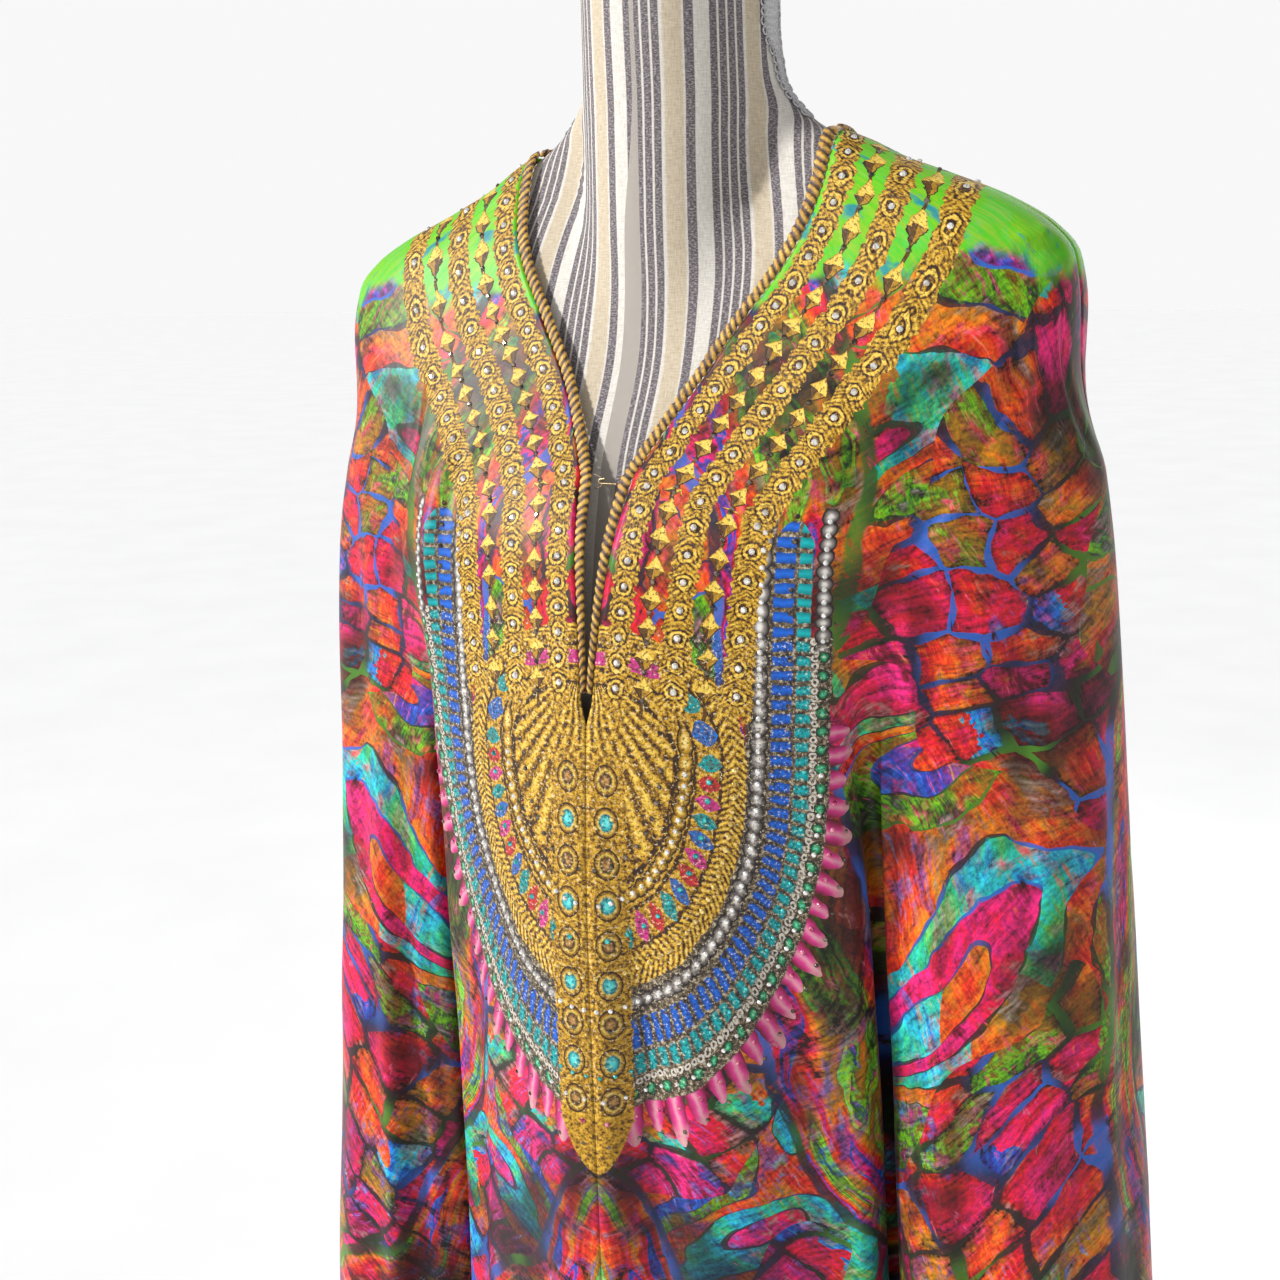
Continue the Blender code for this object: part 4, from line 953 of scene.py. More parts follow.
brush_down = silk.noise(silk.vector(slant, silk.sum("MULTIPLY", cross_slant, 5.0), 9.0), 64.0, 4.0, 0.62)[0]
blot = silk.noise(silk.vector(bent_u, bent_v, 2.0), 31.0, 4.0, 0.62)[0]
drift = silk.noise(silk.vector(cut_u, cut_v, 5.0), 6.5, 1.0)[0]

warm_paints = (
    (0.00, (0.05, 0.001, 0.012)), (0.10, (0.28, 0.001, 0.035)), (0.20, (0.74, 0.014, 0.190)),
    (0.31, (0.74, 0.006, 0.060)), (0.42, (0.62, 0.006, 0.010)), (0.52, (0.74, 0.060, 0.003)),
    (0.60, (0.72, 0.170, 0.003)), (0.68, (0.42, 0.190, 0.005)), (0.77, (0.19, 0.100, 0.005)),
    (0.85, (0.150, 0.46, 0.005)), (0.93, (0.010, 0.05, 0.008)), (1.00, (0.003, 0.012, 0.005)),
)
cool_paints = (
    (0.00, (0.60, 0.012, 0.16)), (0.14, (0.24, 0.050, 0.36)), (0.27, (0.020, 0.040, 0.36)),
    (0.42, (0.010, 0.18, 0.66)), (0.55, (0.02, 0.50, 0.62)), (0.67, (0.02, 0.46, 0.18)),
    (0.79, (0.19, 0.56, 0.010)), (1.00, (0.62, 0.10, 0.01)),
)


def paint(place, is_cool):
    """A paint from the warm or the cool colours."""
    return silk.mix(is_cool, silk.colours(place, warm_paints), silk.colours(place, cool_paints))


# Broad strokes: the contour lines of a stretched noise part the colours.
stroke_place = silk.vector(silk.sum("MULTIPLY", slant, 0.36), cross_slant, 1.0)
stroke = silk.sum("MULTIPLY", silk.noise(stroke_place, 13.0, 1.5, 0.50)[0], 15.0)
stroke_step = silk.sum("FLOOR", stroke)
stroke_random = silk.sum("FRACT", silk.sum("MULTIPLY", silk.sum("SINE", silk.sum("MULTIPLY", stroke_step, 12.99)), 437.0))
stroke_at = silk.sum("MULTIPLY_ADD", blot, 0.85, silk.sum("MULTIPLY_ADD", stroke_random, 0.74, -0.30))
stroke_at = silk.sum("PINGPONG", stroke_at, 0.98)
region = silk.sum("MULTIPLY_ADD", silk.noise(silk.vector(cut_u, cut_v, 31.0), 5.5, 1.0)[0], 2.4, -1.32)
stroke_cool = silk.sum("ADD", silk.sum("FRACT", silk.sum("MULTIPLY", stroke_random, 7.3)), region)
stroke_cool = silk.sum("GREATER_THAN", stroke_cool, 0.72)
stroke_line = silk.sum("ABSOLUTE", silk.sum("SUBTRACT", silk.sum("FRACT", stroke), 0.5))

# Painted blocks in rows, each shading from one colour to the next, with gaps between them.
block_place = silk.vector(silk.sum("MULTIPLY", slant, 0.88), cross_slant, 3.0)
blocks = silk.cells(block_place, 34.0, randomness=0.58, distance="EUCLIDEAN")
block_edge = silk.cells(block_place, 34.0, "DISTANCE_TO_EDGE", 0.58)[0]
block_random = silk.parts(blocks[1])
block_at = silk.sum("MULTIPLY_ADD", block_random[0], 0.62, silk.sum("MULTIPLY_ADD", drift, 1.10, -0.85))
block_at = silk.sum("PINGPONG", silk.sum("MULTIPLY_ADD", blot, 0.90, block_at), 0.90)
block_cool = silk.sum("MULTIPLY_ADD", region, 0.8, silk.sum("MULTIPLY", block_random[1], 0.80))
block_cool = silk.sum("GREATER_THAN", silk.sum("MULTIPLY_ADD", blot, 0.45, block_cool), 0.88)
has_blocks = silk.sum("GREATER_THAN", silk.noise(silk.vector(cut_u, cut_v, 11.0), 7.5, 1.0)[0], 0.485)
no_blocks = silk.sum("SUBTRACT", 1.0, has_blocks)
base_at = silk.sum("MULTIPLY_ADD", block_at, has_blocks, silk.sum("MULTIPLY", stroke_at, no_blocks))
base_cool = silk.sum("MULTIPLY_ADD", block_cool, has_blocks, silk.sum("MULTIPLY", stroke_cool, no_blocks))

# Ribbons of paint with dark borders take the place of both where they pass, each in long thin streaks.
sweep = silk.sum("MULTIPLY_ADD", silk.sum("SINE", silk.sum("MULTIPLY", bent_v, 8.0)), 0.055, bent_u)
ribbon_across = silk.sum("MULTIPLY", silk.sum("MULTIPLY_ADD", bent_v, 0.46, sweep), 4.4)
ribbon_place = silk.sum("FRACT", ribbon_across)
ribbon = silk.between(ribbon_place, 0.08, 0.40, 0.004)
ribbon_line = silk.sum(
    "MAXIMUM", silk.between(ribbon_place, 0.045, 0.085, 0.006), silk.between(ribbon_place, 0.392, 0.430, 0.006))
streak_place = silk.vector(silk.sum("MULTIPLY", ribbon_across, 1.9), silk.sum("MULTIPLY", bent_v, 1.6), 4.0)
streaks = silk.noise(streak_place, 5.0, 2.0, 0.55)[0]
ribbon_at = silk.sum("MULTIPLY_ADD", blot, 0.45, silk.sum("MULTIPLY_ADD", streaks, 2.7, -0.98))
ribbon_at = silk.sum("PINGPONG", ribbon_at, 0.92)
ribbon_cool = silk.sum("GREATER_THAN", silk.sum("FRACT", silk.sum("MULTIPLY", streaks, 5.0)), 0.80)
beside_ribbon = silk.sum("SUBTRACT", 1.0, ribbon)
base_at = silk.sum("MULTIPLY_ADD", ribbon_at, ribbon, silk.sum("MULTIPLY", base_at, beside_ribbon))
base_cool = silk.sum("MULTIPLY_ADD", ribbon_cool, ribbon, silk.sum("MULTIPLY", base_cool, beside_ribbon))
streaked_at = silk.sum("ADD", base_at, silk.sum("MULTIPLY_ADD", brush_across, 0.50, -0.25))
painted = paint(streaked_at, base_cool)

# Washes of a second colour with soft edges, dry brush marks of it, and greyish worn patches.
second_at = silk.sum("PINGPONG", silk.sum("MULTIPLY_ADD", blot, 2.6, 0.3), 0.9)
second_paint = paint(second_at, silk.sum("GREATER_THAN", region, 0.02))
wash = silk.noise(silk.vector(bent_u, bent_v, 8.0), 46.0, 4.0, 0.66)[0]
painted = silk.mix(silk.sum("MULTIPLY", silk.ramp_up(wash, 0.55, 0.07), 0.62), painted, second_paint)
painted = silk.mix(silk.sum("MULTIPLY", silk.ramp_up(brush_across, 0.60, 0.05), 0.70), painted, second_paint)
thin_paint = silk.mix(silk.ramp_up(brush_down, 0.50, 0.12), (0.10, 0.075, 0.055), (0.27, 0.22, 0.20))
thin_place = silk.sum("MULTIPLY", silk.ramp_up(blot, 0.605, 0.03), silk.ramp_up(brush_down, 0.40, 0.10))
painted = silk.mix(silk.sum("MULTIPLY", thin_place, 0.66), painted, thin_paint)
felted = silk.noise(flat_cloth, 420.0, 2.0, 0.6)[0]
shading = silk.sum("MULTIPLY_ADD", brush_across, 0.95, silk.sum("MULTIPLY_ADD", felted, 0.95, -0.62))
shading = silk.sum("MULTIPLY_ADD", wash, -0.70, silk.sum("MULTIPLY_ADD", brush_down, 1.60, shading))
rim = silk.sum("MULTIPLY", silk.sum("MULTIPLY", silk.ramp_up(block_edge, 0.07, 0.13), -1.0), has_blocks)
shading = silk.sum("MULTIPLY_ADD", silk.sum("ADD", rim, has_blocks), -0.48, silk.sum("ADD", shading, 0.02))
deep = silk.ramp_up(silk.noise(silk.vector(cut_u, cut_v, 21.0), 12.0, 3.0)[0], 0.56, 0.09)
shading = silk.sum("MULTIPLY_ADD", shading, 1.45, -0.40)
shading = silk.sum("MAXIMUM", silk.sum("MULTIPLY", shading, silk.sum("MULTIPLY_ADD", deep, -0.84, 1.0)), 0.03)
painted = silk.mix(1.0, painted, silk.vector(shading, shading, shading), "MULTIPLY")
light_marks = silk.sum("MULTIPLY", silk.ramp_up(brush_across, 0.665, 0.04), 0.30)
painted = silk.mix(light_marks, painted, (0.66, 0.34, 0.30))

# Outlines, thick and thin, near black, blue or green by place, broken where the brush ran dry.
line_width = silk.sum("MULTIPLY_ADD", fine_bend, 0.30, -0.095)
block_outline = silk.sum("MULTIPLY", silk.sum("LESS_THAN", block_edge, line_width), has_blocks)
block_outline = silk.sum("MULTIPLY", block_outline, beside_ribbon)
stroke_outline = silk.sum("GREATER_THAN", stroke_line, silk.sum("MULTIPLY_ADD", fine_bend, -0.30, 0.60))
stroke_outline = silk.sum("MULTIPLY", stroke_outline, silk.sum("MULTIPLY", no_blocks, beside_ribbon))
lines = silk.sum("MAXIMUM", silk.sum("MAXIMUM", block_outline, stroke_outline), ribbon_line)
lines = silk.sum("MULTIPLY", lines, silk.ramp_up(brush_across, 0.38, 0.06))
line_paint = silk.colours(silk.noise(flat_cloth, 12.0, 1.0)[0], (
    (0.34, (0.05, 0.17, 0.010)), (0.41, (0.008, 0.026, 0.006)), (0.49, (0.022, 0.006, 0.010)),
    (0.55, (0.010, 0.016, 0.06)), (0.61, (0.020, 0.10, 0.42))))
painted = silk.mix(silk.sum("MULTIPLY", lines, 0.90), painted, line_paint)

# Bright green at the shoulders, breaking up into the patches below.
shoulder_rise = silk.sum("MULTIPLY_ADD", silk.noise(flat_cloth, 16.0, 3.0)[0], 0.10, cut_v)
shoulder = silk.ramp_up(shoulder_rise, 1.396, 0.006)
green = silk.mix(silk.ramp_up(brush_across, 0.52, 0.10), (0.085, 0.50, 0.008), (0.20, 0.47, 0.015))
green = silk.mix(silk.ramp_up(blot, 0.60, 0.04), green, (0.01, 0.24, 0.26))
painted = silk.mix(silk.sum("MULTIPLY", shoulder, 0.93), painted, green)


# The neck's ornament, printed in gold: three braid bands that follow the slit and the V, with rows of
# lozenges between them, and a rounded bib below, ring in ring, of beads, bars, chains and leaves.
gold_dark, gold_mid, gold_light = (0.105, 0.045, 0.004), (0.47, 0.25, 0.012), (0.76, 0.53, 0.085)
gold_stops = ((0.10, (0.03, 0.012, 0.003)), (0.24, gold_dark), (0.46, gold_mid), (0.80, gold_light))
band_middles = (0.0165, 0.0475, 0.0800)
band_half_widths = (0.0068, 0.0078, 0.0084)
band_pitch = (0.0135, 0.0150, 0.0165)
lozenge_middles = (0.0315, 0.0640)
lozenge_pitch = (0.0160, 0.0185)
bands_foot = 1.128
filigree = silk.noise(flat_cloth, 330.0, 3.0, 0.72)[0]
uneven = silk.parts(silk.noise(flat_cloth, 105.0, 2.0)[1])
edge_along = silk.sum("MULTIPLY_ADD", silk.sum("SUBTRACT", uneven[0], 0.5), 0.0060, edge_along)
edge_away = silk.sum("MULTIPLY_ADD", silk.sum("SUBTRACT", uneven[1], 0.5), 0.0044, edge_away)
frayed = silk.noise(flat_cloth, 150.0, 3.0, 0.7)[0]


def repeat_step(along, pitch, shift=0.0):
    """The distance from the middle of the nearest of many equal steps along a line."""
    share = silk.sum("SUBTRACT", silk.sum("FRACT", silk.sum("MULTIPLY_ADD", along, 1 / pitch, shift)), 0.5)
    return silk.sum("MULTIPLY", share, pitch)


def span(a, b):
    return silk.sum("SQRT", silk.sum("ADD", silk.sum("MULTIPLY", a, a), silk.sum("MULTIPLY", b, b)))


gold_cover, gold_tone = None, None
for middle, half_width, pitch in zip(band_middles, band_half_widths, band_pitch):
    off = silk.sum("SUBTRACT", edge_away, middle)
    scallop = silk.sum("ABSOLUTE", silk.sum("SINE", silk.sum("MULTIPLY", edge_along, math.pi / pitch * 2)))
    reach = silk.sum("MULTIPLY_ADD", scallop, 0.0016, silk.sum("MULTIPLY_ADD", frayed, 0.0060, half_width - 0.0044))
    cover = silk.sum("LESS_THAN", silk.sum("ABSOLUTE", off), reach)
    step = repeat_step(edge_along, pitch)
    from_middle = span(step, off)
    ring = silk.between(from_middle, 0.0030, 0.0044, 0.0004)
    gap_ring = silk.between(from_middle, 0.0047, 0.0056, 0.0004)
    plait = silk.sum("SINE", silk.sum("MULTIPLY_ADD", silk.sum("ABSOLUTE", off), 1500.0, silk.sum("MULTIPLY", edge_along, 2300.0)))
    tone = silk.sum("MULTIPLY_ADD", filigree, 1.55, silk.sum("MULTIPLY_ADD", plait, 0.13, -0.34))
    tone = silk.sum("MULTIPLY_ADD", ring, 0.26, tone)
    tone = silk.sum("MULTIPLY_ADD", gap_ring, -0.26, tone)
    tone = silk.sum("MULTIPLY_ADD", silk.sum("LESS_THAN", from_middle, 0.0028), -0.26, tone)
    gold_cover = cover if gold_cover is None else silk.sum("MAXIMUM", gold_cover, cover)
    gold_tone = silk.sum("MULTIPLY", tone, cover) if gold_tone is None else silk.sum("MULTIPLY_ADD", tone, cover, gold_tone)
for middle, pitch in zip(lozenge_middles, lozenge_pitch):
    off = silk.sum("SUBTRACT", edge_away, middle)
    step = repeat_step(edge_along, pitch)
    slope = silk.sum("ADD", silk.sum("MULTIPLY", silk.sum("ABSOLUTE", step), 0.80), silk.sum("ABSOLUTE", off))
    cover = silk.sum("LESS_THAN", slope, 0.0058)
    upper = silk.sum("GREATER_THAN", step, 0.0)
    inner = silk.sum("GREATER_THAN", off, 0.0)
    tone = silk.sum("MULTIPLY_ADD", upper, 0.50, silk.sum("MULTIPLY_ADD", inner, 0.17, 0.10))
    tone = silk.sum("MULTIPLY_ADD", silk.sum("GREATER_THAN", slope, 0.0050), -0.25, tone)
    tone = silk.sum("MULTIPLY_ADD", filigree, 0.25, tone)
    gold_cover = silk.sum("MAXIMUM", gold_cover, cover)
    gold_tone = silk.sum("MULTIPLY_ADD", tone, cover, gold_tone)
    link = silk.sum("MULTIPLY", silk.sum("LESS_THAN", silk.sum("ABSOLUTE", off), 0.0010), silk.sum("SUBTRACT", 1.0, cover))
    gold_cover = silk.sum("MAXIMUM", gold_cover, link)
    gold_tone = silk.sum("MULTIPLY_ADD", link, 0.22, gold_tone)
above_foot = silk.ramp_up(silk.sum("MULTIPLY_ADD", frayed, 0.020, cut_v), bands_foot + 0.010, 0.001)
gold_cover = silk.sum("MULTIPLY", gold_cover, above_foot)

# The bib's rings: a share of its size from its middle, and an evened angle round it from straight down.
bib_middle, bib_wide, bib_deep, bib_top = 1.105, 0.146, 0.232, 1.236
bib_evening = (bib_deep - bib_wide) / (bib_deep + bib_wide) / 2
below = silk.sum("DIVIDE", silk.sum("MINIMUM", silk.sum("SUBTRACT", cut_v, bib_middle), 0.0), bib_deep)
beside = silk.sum("DIVIDE", cut_u, bib_wide)
bib_share = silk.sum("MULTIPLY_ADD", silk.sum("SUBTRACT", uneven[1], 0.5), 0.022, span(below, beside))
turn = silk.sum("ARCTAN2", beside, silk.sum("MULTIPLY", below, -1.0))
climb = silk.sum("MULTIPLY", silk.sum("MAXIMUM", silk.sum("SUBTRACT", cut_v, bib_middle), 0.0), 7.0)
evened = silk.sum("MULTIPLY_ADD", silk.sum("SINE", silk.sum("MULTIPLY", turn, 2.0)), -bib_evening, turn)
round_bib = silk.sum("MULTIPLY_ADD", uneven[0], 0.024, silk.sum("ADD", evened, climb))
down_share = silk.sum("COSINE", turn)
bib_scale = silk.sum("MULTIPLY_ADD", silk.sum("MULTIPLY", down_share, down_share), bib_deep - bib_wide, bib_wide)
quarter = (bib_wide + bib_deep) / 2 * math.pi / 2


def bib_step(count, shift=0.0):
    """A share from -0.5 to 0.5 across each of count equal motifs in a quarter of the bib."""
    return silk.sum("SUBTRACT", silk.sum("FRACT", silk.sum("MULTIPLY_ADD", round_bib, count / (math.pi / 2), shift)), 0.5)


def bib_spot(count, at_share, shift=0.0, oval=1.0):
    """The distance in metres from the nearest of count equal spots along one ring."""
    along = silk.sum("MULTIPLY", bib_step(count, shift), quarter * at_share / count)
    across = silk.sum("MULTIPLY", silk.sum("SUBTRACT", bib_share, at_share), silk.sum("MULTIPLY", bib_scale, oval))
    return span(along, across)


def bead(distance, radius, dark, middle, light):
    """A round bead's colours by the distance from its middle: a light top and a dark edge."""
    share = silk.sum("MULTIPLY_ADD", frayed, 0.35, silk.sum("MULTIPLY", distance, 1 / radius))
    return silk.colours(share, ((0.32, light), (0.62, middle), (1.0, dark)))


ground = silk.colours(filigree, ((0.40, (0.020, 0.016, 0.018)), (0.52, (0.12, 0.085, 0.045)), (0.64, (0.42, 0.36, 0.26))))
petal = silk.sum("ABSOLUTE", bib_step(19))
petal_turn = silk.sum("FLOOR", silk.sum("MULTIPLY", round_bib, 19 / (math.pi / 2)))
petal_length = silk.sum("FRACT", silk.sum("MULTIPLY", petal_turn, 0.618))
petal_length = silk.sum("MULTIPLY_ADD", petal_length, 0.06, 0.95)
petal_end = silk.sum("MULTIPLY_ADD", silk.sum("MULTIPLY", petal, petal), -0.42, petal_length)
petals = silk.sum("MULTIPLY", silk.sum("LESS_THAN", bib_share, petal_end), silk.sum("GREATER_THAN", bib_share, 0.868))
petal_paint = silk.colours(silk.sum("MULTIPLY_ADD", petal, 1.7, silk.sum("MULTIPLY", frayed, 0.25)), (
    (0.10, (0.62, 0.27, 0.33)), (0.40, (0.55, 0.035, 0.20)), (0.75, (0.24, 0.006, 0.055)), (0.98, (0.025, 0.010, 0.012))))
petal_tip = silk.sum("MULTIPLY", silk.ramp_up(bib_share, 0.955, 0.02), silk.ramp_up(filigree, 0.42, 0.04))
petal_paint = silk.mix(silk.sum("MULTIPLY", petal_tip, 0.55), petal_paint, (0.40, 0.30, 0.22))
chain_ring = silk.between(bib_share, 0.795, 0.880, 0.003)
chain = silk.sum("LESS_THAN", silk.sum("ABSOLUTE", silk.sum("SUBTRACT", bib_spot(52, 0.817), 0.0015)), 0.0006)
chain_paint = silk.mix(chain, ground, (0.50, 0.46, 0.40))
green_spot = bib_spot(23, 0.848, 0.5)
chain_paint = silk.mix(silk.sum("LESS_THAN", green_spot, 0.0036), chain_paint, bead(green_spot, 0.0036, (0.01, 0.03, 0.02), (0.02, 0.28, 0.10), (0.10, 0.55, 0.34)))
bars_ring = silk.between(bib_share, 0.650, 0.800, 0.003)
bar = silk.sum("ABSOLUTE", bib_step(30))
bar_body = silk.sum("LESS_THAN", bar, 0.34)
bar_split = silk.between(silk.sum("MULTIPLY_ADD", frayed, 0.012, bib_share), 0.742, 0.756, 0.002)
bar_body = silk.sum("MULTIPLY", bar_body, silk.sum("SUBTRACT", 1.0, bar_split))
bar_colour = silk.mix(silk.ramp_up(bib_share, 0.748, 0.004), (0.006, 0.085, 0.42), (0.0, 0.26, 0.27))
bar_shade = silk.sum("MULTIPLY_ADD", bar, -2.1, silk.sum("MULTIPLY_ADD", filigree, 0.9, 0.85))
bar_colour = silk.mix(1.0, bar_colour, silk.vector(bar_shade, bar_shade, bar_shade), "MULTIPLY")
bar_paint = silk.mix(bar_body, ground, bar_colour)
pearl_ring = silk.between(bib_share, 0.570, 0.662, 0.002)
pearl = bib_spot(26, 0.617)
pearl_paint = silk.mix(silk.sum("LESS_THAN", pearl, 0.0050), ground, bead(pearl, 0.0052, (0.02, 0.016, 0.016), (0.24, 0.21, 0.19), (0.66, 0.63, 0.58)))

# Inside the pearls: a plaited gold ring, enamel leaves, a row of gold beads and a fan of gold rays. Here
# the rings close above the middle too, so the gold runs up between the bands.
above = silk.sum("DIVIDE", silk.sum("MAXIMUM", silk.sum("SUBTRACT", cut_v, bib_middle), 0.0), 0.120)
core_share = span(bib_share, above)
core = silk.sum("LESS_THAN", silk.sum("MULTIPLY_ADD", frayed, 0.03, core_share), 0.592)
plait_ring = silk.between(core_share, 0.490, 0.580, 0.003)
plait_wave = silk.sum("SINE", silk.sum("MULTIPLY_ADD", silk.sum("ABSOLUTE", silk.sum("SUBTRACT", core_share, 0.533)), 190.0, silk.sum("MULTIPLY", bib_step(44), 2 * math.pi)))
core_tone = silk.sum("MULTIPLY_ADD", filigree, 1.55, -0.34)
core_tone = silk.sum("MULTIPLY_ADD", silk.sum("MULTIPLY", plait_wave, plait_ring), 0.20, core_tone)
fan = silk.sum("ARCTAN2", cut_u, silk.sum("SUBTRACT", 1.150, cut_v))
rays = silk.sum("SINE", silk.sum("MULTIPLY", fan, 46.0))
rays_area = silk.sum("LESS_THAN", core_share, 0.320)
core_tone = silk.sum("MULTIPLY_ADD", silk.sum("MULTIPLY", rays, rays_area), 0.20, core_tone)
core_tone = silk.sum("MULTIPLY_ADD", silk.between(core_share, 0.312, 0.328, 0.003), -0.30, core_tone)
core_tone = silk.sum("MULTIPLY_ADD", silk.between(core_share, 0.386, 0.398, 0.003), -0.30, core_tone)
core_tone = silk.sum("MULTIPLY_ADD", silk.between(core_share, 0.480, 0.492, 0.003), -0.30, core_tone)
core_paint = silk.colours(core_tone, gold_stops)
leaf_step = silk.sum("ABSOLUTE", bib_step(13, 0.5))
leaf_reach = silk.sum("MULTIPLY", silk.sum("SUBTRACT", 0.489, core_share), silk.sum("MULTIPLY", silk.sum("SUBTRACT", core_share, 0.398), 190.0))
leaves = silk.sum("LESS_THAN", leaf_step, leaf_reach)
leaf_paint = silk.colours(silk.sum("FRACT", silk.sum("MULTIPLY", silk.sum("FLOOR", silk.sum("MULTIPLY_ADD", round_bib, 13 / (math.pi / 2), 0.5)), 0.618)), (
    (0.0, (0.0, 0.26, 0.26)), (0.30, (0.50, 0.02, 0.03)), (0.52, (0.012, 0.13, 0.45)), (0.75, (0.55, 0.03, 0.22))), "CONSTANT")
leaf_paint = silk.mix(silk.sum("MULTIPLY", silk.ramp_up(filigree, 0.50, 0.05), 0.5), leaf_paint, (0.10, 0.05, 0.01))
core_paint = silk.mix(leaves, core_paint, leaf_paint)
gold_bead = bib_spot(17, 0.355, 0.5)
core_paint = silk.mix(silk.sum("MULTIPLY", silk.sum("LESS_THAN", gold_bead, 0.0046), silk.between(core_share, 0.325, 0.388, 0.002)), core_paint,
                      bead(gold_bead, 0.0048, (0.03, 0.012, 0.003), gold_mid, (0.80, 0.62, 0.20)))

# A column of set ovals beside the centre seam, ending in a small drop.
oval_step = repeat_step(cut_v, 0.0230)
oval = span(silk.sum("MULTIPLY", silk.sum("SUBTRACT", cut_u, 0.0105), 1.35), oval_step)
column = silk.sum("MULTIPLY", silk.sum("GREATER_THAN", cut_v, 0.894), silk.sum("LESS_THAN", cut_v, 1.107))
column_back = silk.sum("MULTIPLY", column, silk.sum("LESS_THAN", silk.sum("MULTIPLY_ADD", frayed, 0.008, silk.sum("ABSOLUTE", cut_u)), 0.0245))
oval_share = silk.sum("MULTIPLY_ADD", frayed, 0.16, silk.sum("MULTIPLY", oval, 90.0))
oval_rim = ((0.58, (0.62, 0.42, 0.07)), (0.70, (0.33, 0.165, 0.010)), (0.82, (0.03, 0.012, 0.003)))
oval_turn = silk.sum("PINGPONG", silk.sum("FLOOR", silk.sum("MULTIPLY", cut_v, 1 / 0.0230)), 1.0)
blue_oval = silk.colours(oval_share, ((0.20, (0.10, 0.62, 0.60)), (0.48, (0.0, 0.17, 0.20)), *oval_rim))
dark_oval = silk.colours(oval_share, ((0.20, (0.42, 0.22, 0.06)), (0.44, (0.040, 0.012, 0.005)), *oval_rim))
oval_paint = silk.mix(oval_turn, blue_oval, dark_oval)
oval_cover = silk.sum("MULTIPLY", column, silk.sum("LESS_THAN", oval, 0.0088))
tip_share = silk.sum("DIVIDE", silk.sum("SUBTRACT", cut_v, 0.864), 0.032)
tip_width = silk.sum("MULTIPLY", silk.sum("SQRT", silk.sum("MAXIMUM", tip_share, 0.0)), 0.020)
tip = silk.sum("MULTIPLY", silk.sum("LESS_THAN", silk.sum("ABSOLUTE", cut_u), tip_width), silk.sum("LESS_THAN", cut_v, 0.896))

at_front = silk.sum("LESS_THAN", silk.parts(silk.object_point())[1], 0.0)
pearls_up = silk.sum("LESS_THAN", cut_v, bib_top)
bars_off = silk.sum("MULTIPLY_ADD", bib_share, 13.0, -13.0 * 0.725)
bars_top = silk.sum("MULTIPLY_ADD", silk.sum("MULTIPLY", bars_off, bars_off), -0.012, bib_top - 0.006)
bars_up = silk.sum("LESS_THAN", cut_v, bars_top)
chain_up = silk.sum("LESS_THAN", cut_v, 1.172)
petals_up = silk.sum("LESS_THAN", cut_v, 1.128)
outer_pearl = bib_spot(34, 0.845)
outer_pearls = silk.sum("MULTIPLY", silk.sum("LESS_THAN", outer_pearl, 0.0046), silk.between(cut_v, 1.165, bib_top, 0.001))
for cover, colour in (
    (silk.sum("MULTIPLY", petals, petals_up), petal_paint),
    (silk.sum("MULTIPLY", chain_ring, chain_up), chain_paint),
    (silk.sum("MULTIPLY", bars_ring, bars_up), bar_paint),
    (outer_pearls, bead(outer_pearl, 0.0048, (0.02, 0.016, 0.016), (0.24, 0.21, 0.19), (0.66, 0.63, 0.58))),
    (silk.sum("MULTIPLY", pearl_ring, pearls_up), pearl_paint),
    (core, core_paint),
    (column_back, silk.colours(silk.sum("MULTIPLY_ADD", filigree, 1.5, -0.34), gold_stops)),
    (oval_cover, oval_paint),
    (tip, silk.colours(silk.sum("MULTIPLY_ADD", filigree, 1.5, -0.36), gold_stops)),
):
    painted = silk.mix(silk.sum("MULTIPLY", cover, at_front), painted, colour)
painted = silk.mix(gold_cover, painted, silk.colours(gold_tone, gold_stops))
bib_cover = silk.sum("MULTIPLY", silk.sum("LESS_THAN", bib_share, 0.88), silk.sum("MULTIPLY", chain_up, at_front))
# Dark specks over the gold ornament and the bib, placed at random: painted shade.
grain = silk.noise(flat_cloth, 560.0, 2.0, 0.6)[0]
painted_shade_specks = silk.sum("MULTIPLY", silk.ramp_up(grain, 0.575, 0.03), silk.sum("MAXIMUM", bib_cover, gold_cover))
painted = silk.mix(silk.sum("MULTIPLY", painted_shade_specks, 0.72), painted, (0.022, 0.012, 0.008))
# Small light specks over the bib, placed at random: painted glints.
painted_glint_specks = silk.sum("MULTIPLY", silk.sum("SUBTRACT", 1.0, silk.ramp_up(grain, 0.375, 0.02)), bib_cover)
painted = silk.mix(silk.sum("MULTIPLY", painted_glint_specks, 0.60), painted, (0.72, 0.62, 0.42))
raised = silk.sum("MAXIMUM", gold_cover, silk.sum("MULTIPLY", bib_cover, 0.8))
raised = silk.sum("MULTIPLY", raised, silk.sum("MULTIPLY_ADD", filigree, 1.2, 0.2))
weave = silk.noise(silk.vector(silk.sum("MULTIPLY", cut_u, 5.0), cut_v), 900.0, 1.0)[0]
wrinkles = silk.noise(silk.vector(cut_u, silk.sum("MULTIPLY", cut_v, 0.45), 7.0), 26.0, 3.0, 0.5, 0.6)[0]
relief = silk.bump(wrinkles, 0.0045, 0.35)
relief = silk.bump(weave, 0.0001, 0.25, relief)
relief = silk.bump(raised, 0.0007, 0.9, relief)
silk_material = silk.finish(painted, relief, Sheen_Weight=0.05, Specular_IOR_Level=0.26)

